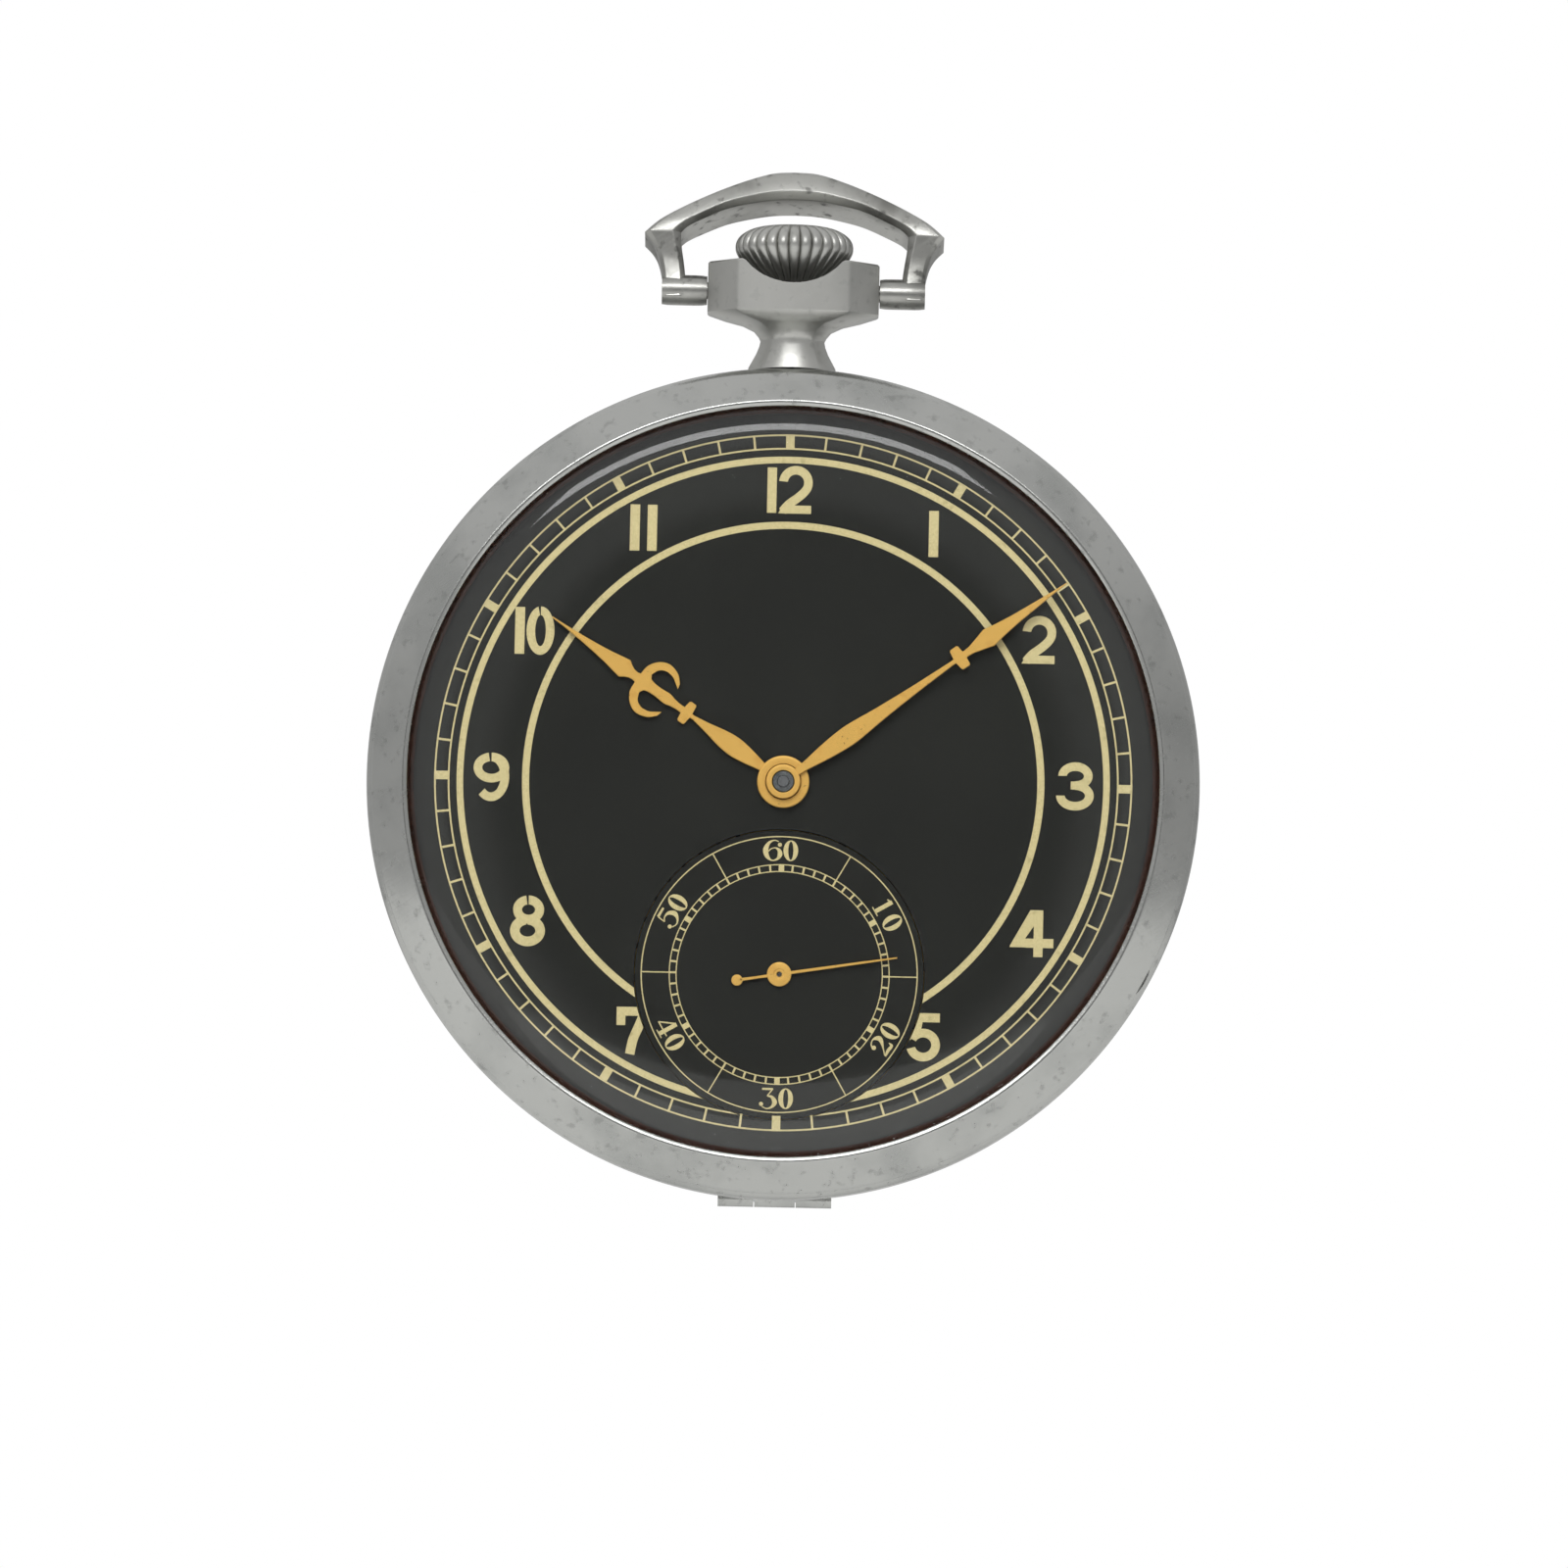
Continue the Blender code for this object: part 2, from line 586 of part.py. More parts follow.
# ---- dial and hands ------------------------------------------------------------------------
def hand(name, angle_deg, place, height, hub_r, bore_r, half, finish="gold"):
    """A hand from one half of its outline as (along, across) in millimetres, hub to tip."""
    hub = [(hub_r * cos(radians(a)), hub_r * sin(radians(a))) for a in (180, 150, 120, 90, 60, 35)]
    half = hub + [(u * MM, w * MM) for u, w in half]
    outline = half + [(u, -w) for u, w in half[-2:0:-1]]
    heading = radians(90 - angle_deg)
    turned_outline = []
    for u, w in outline:
        x = place[0] + u * cos(heading) - w * sin(heading)
        turned_outline.append((x, place[1] + u * sin(heading) + w * cos(heading)))
    mesh = plate(turned_outline, [circle(place, bore_r, 12)], height, height + HAND_THICK)
    return piece(name, mesh, finish, on_axis(place, height))


def make_dial():
    top = DIAL_LOW_H + DIAL_THICK
    holes = [circle(FOURTH, SUBDIAL_R + 0.03 * MM, 40), circle(CENTRE, HOUR_PIPE_R + 0.17 * MM, 16)]
    piece("dial", plate(circle(CENTRE, DIAL_R, CASE_SIDES), holes, DIAL_LOW_H, top), "black")
    subdial = plate(circle(FOURTH, SUBDIAL_R, 40), [circle(FOURTH, 0.45 * MM, 12)],
                    DIAL_LOW_H + 0.02 * MM, top - 0.14 * MM)
    piece("seconds_subdial", subdial, "black")


def make_hands():
    long = HOUR_HAND_LENGTH / MM
    hour = [
        (1.9, 0.3), (3.5, 0.58), (5.0, 0.42), (6.4, 0.18), (6.65, 0.69), (7.15, 0.69),
        (7.25, 0.28), (8.4, 0.22), (9.5, 0.4), (9.75, 0.8), (9.5, 1.15), (8.9, 1.2),
        (8.3, 1.0), (7.95, 1.2), (8.6, 1.5), (9.4, 1.55), (10.1, 1.3), (10.4, 0.7),
        (10.5, 0.24), (11.0, 0.35), (11.4, 0.62), (12.4, 0.4), (14.2, 0.26), (long, 0.0),
    ]
    hand("hour_hand", HOUR_ANGLE_DEG, CENTRE, HOUR_HAND_H, 1.54 * MM, HOUR_PIPE_R + FIT, hour)
    long = MINUTE_HAND_LENGTH / MM
    minute = [
        (1.6, 0.25), (4.3, 0.57), (5.2, 0.56), (8.5, 0.28), (12.1, 0.13), (12.4, 0.58),
        (12.55, 0.69), (12.85, 0.69), (13.0, 0.3), (13.2, 0.2), (14.0, 0.38), (14.7, 0.58),
        (16.4, 0.34), (18.6, 0.2), (long, 0.0),
    ]
    hand("minute_hand", MINUTE_ANGLE_DEG, CENTRE, MINUTE_HAND_H, 1.01 * MM, CANNON_R + FIT, minute)
    long = SECOND_HAND_LENGTH / MM
    second = hand("second_hand", SECOND_ANGLE_DEG, FOURTH, SECOND_HAND_H, 0.72 * MM, 0.23 * MM,
                  [(0.72, 0.08), (4.0, 0.08), (long, 0.05), (long, 0.0)])
    tail = radians(90 - SECOND_ANGLE_DEG + 180)
    ends = polar(FOURTH, 0.5 * MM, tail), polar(FOURTH, 2.5 * MM, tail)
    fill(second, plate(bar(*ends, 0.1 * MM), [], SECOND_HAND_H + 0.01 * MM,
                       SECOND_HAND_H + HAND_THICK - 0.01 * MM))
    fill(second, plate(circle(ends[1], 0.33 * MM, 12), [], SECOND_HAND_H + 0.005 * MM,
                       SECOND_HAND_H + HAND_THICK - 0.005 * MM))


def make_motion_work():
    low, top = MOTION_LOW_H, MOTION_LOW_H + WHEEL_THICK
    second_low, second_top = top + 0.08 * MM, top + 0.25 * MM
    cannon_phase = 0.0
    cannon_r = MOTION_MODULE * CANNON_TEETH / 2

    def ring(radius):
        return gear(CENTRE, CANNON_TEETH, radius, radius, cannon_phase)

    leaves = toothed(CENTRE, CANNON_TEETH, cannon_r, cannon_phase)
    bore = ARBOR_R + 0.04 * MM
    head = MINUTE_HAND_H + HAND_THICK + 0.06 * MM
    levels = [(ring(bore), low), (leaves, low), (leaves, top), (ring(CANNON_R), top),
              (ring(CANNON_R), head), (ring(bore), head)]
    piece("cannon_pinion", stack(levels, True), "steel", on_axis(CENTRE, low))

    heading = direction(CENTRE, MINUTE_WHEEL)
    minute_phase = meshed(CANNON_TEETH, cannon_phase, MINUTE_TEETH, heading)
    minute_r = MOTION_MODULE * MINUTE_TEETH / 2
    bored = circle(MINUTE_WHEEL, 0.3 * MM, 10)
    wheel = plate(toothed(MINUTE_WHEEL, MINUTE_TEETH, minute_r, minute_phase), [bored], low, top)
    minute = piece("minute_wheel", wheel, "brass", on_axis(MINUTE_WHEEL, low))
    module_b = 2 * CENTRE_TO_MINUTE / (MINUTE_PINION + HOUR_TEETH)
    pinion = toothed(MINUTE_WHEEL, MINUTE_PINION, module_b * MINUTE_PINION / 2, minute_phase)
    fill(minute, plate(pinion, [circle(MINUTE_WHEEL, 0.299 * MM, 10)], low + 0.02 * MM, second_top))

    hour_phase = meshed(MINUTE_PINION, minute_phase, HOUR_TEETH, heading + pi)
    hour_gear = toothed(CENTRE, HOUR_TEETH, module_b * HOUR_TEETH / 2, hour_phase)
    inner = CANNON_R + 0.07 * MM
    hour = plate(hour_gear, [circle(CENTRE, inner, 20)], second_low, second_top)
    hour = piece("hour_wheel", hour, "brass", on_axis(CENTRE, second_low))
    pipe = [(inner - 0.001 * MM, second_low + 0.02 * MM), (HOUR_PIPE_R, second_low + 0.02 * MM)]
    pipe_top = HOUR_HAND_H + HAND_THICK
    pipe += [(HOUR_PIPE_R, pipe_top), (inner - 0.001 * MM, pipe_top)]
    fill(hour, turned(CENTRE, pipe, 20, True))

    heading = direction(MINUTE_WHEEL, SETTING_WHEEL)
    phase = meshed(MINUTE_TEETH, minute_phase, SETTING_TEETH, heading)
    outline = toothed(SETTING_WHEEL, SETTING_TEETH, SETTING_R, phase)
    holes = [circle(SETTING_WHEEL, 0.3 * MM, 10)]
    piece("setting_wheel", plate(outline, holes, low, top), "steel", on_axis(SETTING_WHEEL, low))


# ---- plates and bridges --------------------------------------------------------------------
PIVOT_HOLE = 0.22 * MM
PIVOT_R = 0.16 * MM
COCK_FOOT = (11.6 * MM, -14.2 * MM)
PALLET_FOOT = polar(PALLET, 3.6 * MM, LINE_OF_CENTRES - pi / 2)
BARREL_SCREWS = [polar(CENTRE, 17.3 * MM, radians(a)) for a in (184, 50)]
TRAIN_SCREWS = [polar(CENTRE, 17.6 * MM, radians(a)) for a in (226, 286)]
CASE_SCREWS = [polar(CENTRE, PLATE_R - 1.15 * MM, radians(a)) for a in (115, 330)]
SCREW_R = 0.4 * MM
SCREW_HEAD_R = 0.85 * MM
YOKE_PIVOT = (4.4 * MM, 12.6 * MM)
LEVER_PIN_Z = 18.9 * MM
LEVER_PIVOT = (3.0 * MM, LEVER_PIN_Z)
CLICK_PIVOT = polar(BARREL, RATCHET_R + 1.6 * MM, radians(205))


def make_main_plate():
    gap = degrees(asin(NOTCH_HALF / PLATE_R))
    outline = arc(CENTRE, PLATE_R, 90 + gap, 450 - gap, CASE_SIDES)
    floor_z = CLUTCH_Z[0] - 0.9 * MM
    outline += [(NOTCH_HALF, floor_z), (-NOTCH_HALF, floor_z)]
    holes = [circle(CENTRE, ARBOR_R + 0.05 * MM, 12), circle(FOURTH, PIVOT_HOLE + FIT, 10)]
    holes += [circle(p, PIVOT_HOLE, 10) for p in (THIRD, ESCAPE, PALLET, BALANCE_AT)]
    holes += [circle(BARREL, 0.6 * MM, 12), circle(MINUTE_WHEEL, 0.18 * MM, 8)]
    holes += [circle(SETTING_WHEEL, 0.18 * MM, 8)]
    holes += [circle(p, SCREW_R + FIT, 10) for p in BARREL_SCREWS + TRAIN_SCREWS + CASE_SCREWS]
    holes += [circle(p, SCREW_R + FIT, 10) for p in (COCK_FOOT, PALLET_FOOT)]
    main = piece("main_plate", plate(outline, holes, PLATE_LOW_H, PLATE_TOP_H), "gilt")
    for place, radius in ((MINUTE_WHEEL, 0.24), (SETTING_WHEEL, 0.24), (YOKE_PIVOT, 0.3), (LEVER_PIVOT, 0.3)):
        post_top = LEVER_H[1] + 0.05 * MM
        fill(main, turned(place, [(radius * MM, PLATE_LOW_H + 0.3 * MM), (radius * MM, post_top)], 10))


def bridge(name, outline, feet, screws, holes, thick=BRIDGE_THICK, low=BRIDGE_LOW_H):
    """A bridge over the train, with its feet on the main plate."""
    drilled = [circle(p, r, 10) for p, r in holes]
    drilled += [circle(p, SCREW_R + FIT, 10) for p in screws]
    made = piece(name, plate(outline, drilled, low, low + thick), "gilt")
    for foot, inside in feet:
        bored = [circle(p, SCREW_R + FIT, 10) for p in inside]
        fill(made, plate(foot, bored, low + 0.5 * thick, PLATE_LOW_H - FIT))
    return made


def sector(inner, outer, start_deg, end_deg, steps=6):
    return arc(CENTRE, outer, start_deg, end_deg, steps) + arc(CENTRE, inner, end_deg, start_deg, steps)


def make_bridges():
    clear = BALANCE_R + 1.1 * MM
    outline = arc(CENTRE, BRIDGE_R, 20, 196, 30)
    outline += [(-3.0 * MM, -2.6 * MM), (2.0 * MM, -2.6 * MM)]
    outline += arc(BALANCE_AT, clear, 178, 62, 10)
    inner = 0.25 * MM
    feet = [
        (sector(14.6 * MM, BRIDGE_R - inner, 177, 194), [BARREL_SCREWS[0]]),
        (sector(13.5 * MM, BRIDGE_R - inner, 27, 66), [BARREL_SCREWS[1]]),
    ]
    holes = [(CENTRE, ARBOR_R + 0.05 * MM), (BARREL, 1.1 * MM), (CROWN_WHEEL, SCREW_R + FIT)]
    top = bridge("barrel_bridge", outline, feet, BARREL_SCREWS, holes)
    boss = [(1.3 * MM, BRIDGE_LOW_H + 0.3 * MM), (1.3 * MM, WINDING_TOP_H + 0.05 * MM)]
    fill(top, turned(CROWN_WHEEL, boss, 14))
    cut(top, turned(CROWN_WHEEL, [(SCREW_R + FIT, 0.8 * MM), (SCREW_R + FIT, 3 * MM)], 10))

    outline = arc(CENTRE, BRIDGE_R, 204, 290, 16)
    outline += [(8.0 * MM, -12.3 * MM), (6.6 * MM, -8.9 * MM), (4.6 * MM, -7.3 * MM)]
    outline += [(1.5 * MM, -3.4 * MM), (-3.5 * MM, -3.4 * MM)]
    feet = [
        (sector(15.2 * MM, BRIDGE_R - inner, 207, 244), [TRAIN_SCREWS[0]]),
        (sector(16.6 * MM, BRIDGE_R - inner, 282, 289, 3), [TRAIN_SCREWS[1]]),
    ]
    holes = [(p, PIVOT_HOLE) for p in (THIRD, FOURTH, ESCAPE)]
    bridge("train_bridge", outline, feet, TRAIN_SCREWS, holes)

    low = 2.95 * MM
    foot = circle(PALLET_FOOT, 0.9 * MM, 12)
    bridge("pallet_bridge", bar(PALLET, PALLET_FOOT, 1.0 * MM), [(foot, [PALLET_FOOT])],
           [PALLET_FOOT], [(PALLET, PIVOT_HOLE)], 0.35 * MM, low)

    heading = degrees(direction(COCK_FOOT, BALANCE_AT))
    outline = arc(BALANCE_AT, 1.9 * MM, heading - 100, heading + 100, 10)
    outline += arc(COCK_FOOT, 2.6 * MM, heading + 110, heading + 250, 8)
    foot = circle(COCK_FOOT, 2.2 * MM, 14)
    bridge("balance_cock", outline, [(foot, [COCK_FOOT])], [COCK_FOOT],
           [(BALANCE_AT, PIVOT_HOLE)])


def screw(name, place, under_head, end, head_r=SCREW_HEAD_R, head_thick=0.3 * MM):
    """A slotted screw that goes in from the back; under_head is where its head seats."""
    top = under_head - head_thick
    profile = [(head_r - 0.08 * MM, top), (head_r, top + 0.08 * MM), (head_r, under_head),
               (SCREW_R, under_head), (SCREW_R, end)]
    made = piece(name, turned(place, profile, 10), "blue")
    half = 0.1 * MM
    x, z = place
    slot = [(x - 2 * MM, z - half), (x + 2 * MM, z - half), (x + 2 * MM, z + half), (x - 2 * MM, z + half)]
    cut(made, plate(slot, [], top - 0.3 * MM, top + 0.15 * MM))


def make_screws():
    seat = BRIDGE_LOW_H - 0.03 * MM
    end = PLATE_TOP_H - 0.3 * MM
    for side, place in zip(("left", "right"), BARREL_SCREWS):
        screw(f"barrel_bridge_screw_{side}", place, seat, end)
    for side, place in zip(("left", "right"), TRAIN_SCREWS):
        screw(f"train_bridge_screw_{side}", place, seat, end)
    for side, place in zip(("upper", "lower"), CASE_SCREWS):
        screw(f"case_screw_{side}", place, PLATE_LOW_H - 0.85 * MM, end, 0.95 * MM)
    screw("balance_cock_screw", COCK_FOOT, seat, end, 1.0 * MM)
    screw("pallet_bridge_screw", PALLET_FOOT, 2.92 * MM, end, 0.7 * MM, 0.2 * MM)


# ---- barrel and winding --------------------------------------------------------------------
BARREL_PHASE = radians(BARREL_ANGLE_DEG) + pi


def make_barrel():
    floor = BARREL_TOP_H - 0.5 * MM
    pitch_r = CENTRE_TO_BARREL * BARREL_TEETH / (BARREL_TEETH + CENTRE_PINION)
    bore = 0.62 * MM
    teeth = toothed(BARREL, BARREL_TEETH, pitch_r, BARREL_PHASE)
    disc = plate(teeth, [circle(BARREL, bore, 14)], floor, BARREL_TOP_H)
    barrel = piece("barrel", disc, "brass", on_axis(BARREL, floor))
    wall = [(BARREL_R, floor + 0.1 * MM), (BARREL_R, BARREL_LOW_H), (BARREL_R - 0.4 * MM, BARREL_LOW_H),
            (BARREL_R - 0.4 * MM, floor + 0.1 * MM)]
    fill(barrel, turned(BARREL, wall, 32, True))
    lid_r = BARREL_R - 0.4 * MM - FIT
    lid = plate(circle(BARREL, lid_r, 32), [circle(BARREL, bore, 14)], BARREL_LOW_H + 0.02 * MM,
                BARREL_LOW_H + 0.25 * MM)
    piece("barrel_cover", lid, "brass", on_axis(BARREL, BARREL_LOW_H))
    low = BARREL_LOW_H + 0.32 * MM
    arbor = [(0.9 * MM, BRIDGE_LOW_H - 0.05 * MM), (0.9 * MM, WINDING_LOW_H - 0.02 * MM),
             (0.9 * MM, WINDING_TOP_H), (0.55 * MM, WINDING_TOP_H), (0.55 * MM, low),
             (1.6 * MM, low), (1.6 * MM, floor - 0.05 * MM), (0.55 * MM, floor - 0.05 * MM),
             (0.55 * MM, PLATE_TOP_H - 0.3 * MM)]
    piece("barrel_arbor", turned(BARREL, arbor, 14), "steel", on_axis(BARREL, low))
    make_mainspring(low, floor - 0.08 * MM, 1.75 * MM, lid_r - 0.35 * MM)


def spiral(centre, inner, outer, turns, thick, steps_per_turn):
    """The outline of a coiled strip."""
    steps = int(turns * steps_per_turn)
    line = []
    for i in range(steps + 1):
        share = i / steps
        line.append((inner + (outer - inner) * share, 2 * pi * turns * share))
    outside = [polar(centre, r + thick / 2, a) for r, a in line]
    inside = [polar(centre, r - thick / 2, a) for r, a in line]
    return outside, inside


def ribbon(outside, inside, low, high):
    """A strip standing on edge, built section by section."""
    rings = []
    for a, b in zip(outside, inside):
        rings.append([(a[0], -low, a[1]), (a[0], -high, a[1]), (b[0], -high, b[1]), (b[0], -low, b[1])])
    return lofted(rings)


def make_mainspring(low, high, inner, outer):
    strip = spiral(BARREL, inner, outer, 6, 0.22 * MM, 12)
    piece("mainspring", ribbon(*strip, low, high), "blue")


def make_winding():
    toward = direction(CROWN_WHEEL, BARREL)
    crown_phase = radians(90) + pi / CROWN_WHEEL_TEETH
    crown = toothed(CROWN_WHEEL, CROWN_WHEEL_TEETH, CROWN_WHEEL_R, crown_phase)
    holes = [circle(CROWN_WHEEL, 1.36 * MM, 14)]
    piece("crown_wheel", plate(crown, holes, WINDING_LOW_H, WINDING_TOP_H), "steel",
          on_axis(CROWN_WHEEL, WINDING_LOW_H))
    phase = meshed(CROWN_WHEEL_TEETH, crown_phase, RATCHET_TEETH, toward)
    ratchet = toothed(BARREL, RATCHET_TEETH, RATCHET_R, phase)
    holes = [circle(BARREL, 0.93 * MM, 14)]
    piece("ratchet_wheel", plate(ratchet, holes, WINDING_LOW_H, WINDING_TOP_H), "steel",
          on_axis(BARREL, WINDING_LOW_H))
    head = [(1.6 * MM, WINDING_TOP_H + 0.23 * MM), (1.6 * MM, WINDING_TOP_H + 0.08 * MM),
            (SCREW_R, WINDING_TOP_H + 0.08 * MM), (SCREW_R, BRIDGE_LOW_H + 0.15 * MM)]
    piece("crown_wheel_screw", turned(CROWN_WHEEL, head, 14), "blue")

    # the click stands off the ratchet's tooth tips, on the side away from the crown wheel
    nose = polar(BARREL, RATCHET_R + 0.75 * MM, radians(186))
    click = plate(bar(CLICK_PIVOT, nose, 0.42 * MM), [circle(CLICK_PIVOT, 0.22 * MM, 8)],
                  WINDING_LOW_H + 0.05 * MM, WINDING_TOP_H - 0.05 * MM)
    piece("click", click, "steel", on_axis(CLICK_PIVOT, WINDING_LOW_H))
    spring = [polar(CLICK_PIVOT, 1.0 * MM, radians(200)), polar(nose, 1.1 * MM, radians(180))]
    strip = plate(bar(*spring, 0.12 * MM), [], WINDING_LOW_H + 0.05 * MM, WINDING_TOP_H - 0.05 * MM)
    piece("click_spring", strip, "blue")


def upright_gear(teeth, root, tip, phase, z):
    return [(x, y - STEM_H, z) for x, y in gear(CENTRE, teeth, root, tip, phase)]


def make_keyless_work():
    low, high = WINDING_PINION_Z
    bore = STEM_R + 0.08 * MM
    root = WINDING_PINION_R - 0.5 * MM
    # a leaf pointing at the back meets a gap of the crown wheel
    phase = radians(90)

    def ring(r, z):
        return upright_gear(WINDING_TEETH, r, r, phase, z)

    def leaves(z):
        return upright_gear(WINDING_TEETH, root, WINDING_PINION_R, phase, z)

    rings = [ring(bore, low), ring(1.3 * MM, low), ring(1.3 * MM, low + 0.2 * MM),
             leaves(low + 0.2 * MM), leaves(high), ring(bore, high)]
    piece("winding_pinion", lofted(rings, True), "steel", (0.0, -STEM_H, low))
    groove = (CLUTCH_Z[0] + 1.1 * MM, CLUTCH_Z[0] + 1.75 * MM)
    inner = STEM_R - 0.15 * MM + 0.06 * MM
    profile = [(inner, CLUTCH_Z[0]), (CLUTCH_R, CLUTCH_Z[0]), (CLUTCH_R, groove[0]),
               (1.1 * MM, groove[0]), (1.1 * MM, groove[1]), (CLUTCH_R, groove[1]),
               (CLUTCH_R, CLUTCH_Z[1] - 0.4 * MM), (1.25 * MM, CLUTCH_Z[1]), (inner, CLUTCH_Z[1])]
    piece("sliding_clutch", turned_upright(profile, 16, True), "steel", (0.0, -STEM_H, CLUTCH_Z[0]))

    tip = (0.0, (groove[0] + groove[1]) / 2)
    yoke = plate(bar(YOKE_PIVOT, tip, 0.25 * MM), [], LEVER_H[0], LEVER_H[0] + 0.16 * MM)
    yoke = piece("yoke", yoke, "steel", on_axis(YOKE_PIVOT, LEVER_H[0]))
    fill(yoke, plate(circle(YOKE_PIVOT, 0.75 * MM, 14), [], LEVER_H[0] - 0.01 * MM, LEVER_H[1]))
    fill(yoke, turned(tip, [(0.2 * MM, STEM_H + 1.2 * MM), (0.2 * MM, LEVER_H[0] + 0.1 * MM)], 8))
    cut(yoke, turned(YOKE_PIVOT, [(0.36 * MM, 4 * MM), (0.36 * MM, 7 * MM)], 12))
    pin = (0.0, LEVER_PIN_Z)
    lever = plate(bar(LEVER_PIVOT, pin, 0.4 * MM), [], LEVER_H[0], LEVER_H[1])
    lever = piece("setting_lever", lever, "steel", on_axis(LEVER_PIVOT, LEVER_H[0]))
    cut(lever, turned(LEVER_PIVOT, [(0.36 * MM, 4 * MM), (0.36 * MM, 7 * MM)], 12))
    fill(lever, turned(pin, [(0.2 * MM, STEM_H + 0.37 * MM), (0.2 * MM, LEVER_H[0] + 0.1 * MM)], 8))


# ---- going train ---------------------------------------------------------------------------
def wheel(name, place, teeth, pitch_r, phase, height, hub_r, arms=4):
    pitch = pitch_r / teeth
    holes = [circle(place, hub_r, 12), *windows(place, 0.24 * pitch_r, pitch_r - 5.5 * pitch - 0.3 * MM, arms)]
    made = plate(toothed(place, teeth, pitch_r, phase), holes, height, height + WHEEL_THICK)
    return piece(name, made, "brass", on_axis(place, height))


def pinion(name, place, teeth, pitch_r, phase, leaf_heights, ends, body_r, seat=None, seat_r=0.0):
    """A pinion and its arbor in one piece; the wheel, where it has one, seats on the arbor."""
    leaves = toothed(place, teeth, pitch_r, phase)

    def ring(radius):
        return gear(place, teeth, radius, radius, phase)

    low, top = leaf_heights
    levels = [(ring(body_r), ends[0])]
    if seat and seat < low:
        levels += [(ring(body_r), seat - FIT), (ring(seat_r), seat - FIT), (ring(seat_r), low)]
    else:
        levels += [(ring(body_r), low)]
    levels += [(leaves, low), (leaves, top)]
    if seat and seat > low:
        levels += [(ring(seat_r), top), (ring(seat_r), seat + WHEEL_THICK + FIT),
                   (ring(body_r), seat + WHEEL_THICK + FIT)]
    else:
        levels += [(ring(body_r), top)]
    levels += [(ring(body_r), ends[1])]
    piece(name, stack(levels), "steel", on_axis(place, ends[0]))


def make_train():
    under = BRIDGE_LOW_H + 0.1 * MM
    over = PLATE_TOP_H - 0.3 * MM
    seat_r = 0.4 * MM
    hub_r = seat_r + FIT

    barrel_pitch = CENTRE_TO_BARREL / (BARREL_TEETH + CENTRE_PINION)
    phase = meshed(BARREL_TEETH, BARREL_PHASE, CENTRE_PINION, direction(BARREL, CENTRE))
    leaf = (BARREL_TOP_H - 0.55 * MM, PLATE_LOW_H - 0.08 * MM)
    pinion("centre_pinion", CENTRE, CENTRE_PINION, barrel_pitch * CENTRE_PINION, phase, leaf,
           (under, MINUTE_HAND_H + HAND_THICK + 0.12 * MM), ARBOR_R)

    third_r = CENTRE_TO_THIRD * CENTRE_TEETH / (CENTRE_TEETH + THIRD_PINION)
    wheel("centre_wheel", CENTRE, CENTRE_TEETH, third_r, 0.0, CENTRE_WHEEL_H, ARBOR_R + FIT)
    phase = meshed(CENTRE_TEETH, 0.0, THIRD_PINION, direction(CENTRE, THIRD))
    leaf = (CENTRE_WHEEL_H - 0.05 * MM, CENTRE_WHEEL_H + WHEEL_THICK + 0.1 * MM)
    pinion("third_pinion", THIRD, THIRD_PINION, CENTRE_TO_THIRD - third_r, phase, leaf,
           (under, over), PIVOT_R, THIRD_WHEEL_H, seat_r)

    fourth_r = THIRD_TO_FOURTH * THIRD_TEETH / (THIRD_TEETH + FOURTH_PINION)
    wheel("third_wheel", THIRD, THIRD_TEETH, fourth_r, 0.0, THIRD_WHEEL_H, hub_r)
    phase = meshed(THIRD_TEETH, 0.0, FOURTH_PINION, direction(THIRD, FOURTH))
    leaf = (THIRD_WHEEL_H - 0.05 * MM, THIRD_WHEEL_H + WHEEL_THICK + 0.1 * MM)
    pinion("fourth_pinion", FOURTH, FOURTH_PINION, THIRD_TO_FOURTH - fourth_r, phase, leaf,
           (under, SECOND_HAND_H + HAND_THICK - 0.02 * MM), PIVOT_R, FOURTH_WHEEL_H, seat_r)

    escape_r = FOURTH_TO_ESCAPE * FOURTH_TEETH / (FOURTH_TEETH + ESCAPE_PINION)
    wheel("fourth_wheel", FOURTH, FOURTH_TEETH, escape_r, 0.0, FOURTH_WHEEL_H, hub_r)
    phase = meshed(FOURTH_TEETH, 0.0, ESCAPE_PINION, direction(FOURTH, ESCAPE))
    leaf = (FOURTH_WHEEL_H - 0.05 * MM, FOURTH_WHEEL_H + WHEEL_THICK + 0.1 * MM)
    pinion("escape_pinion", ESCAPE, ESCAPE_PINION, FOURTH_TO_ESCAPE - escape_r, phase, leaf,
           (under, over), PIVOT_R, ESCAPE_WHEEL_H, 0.3 * MM)


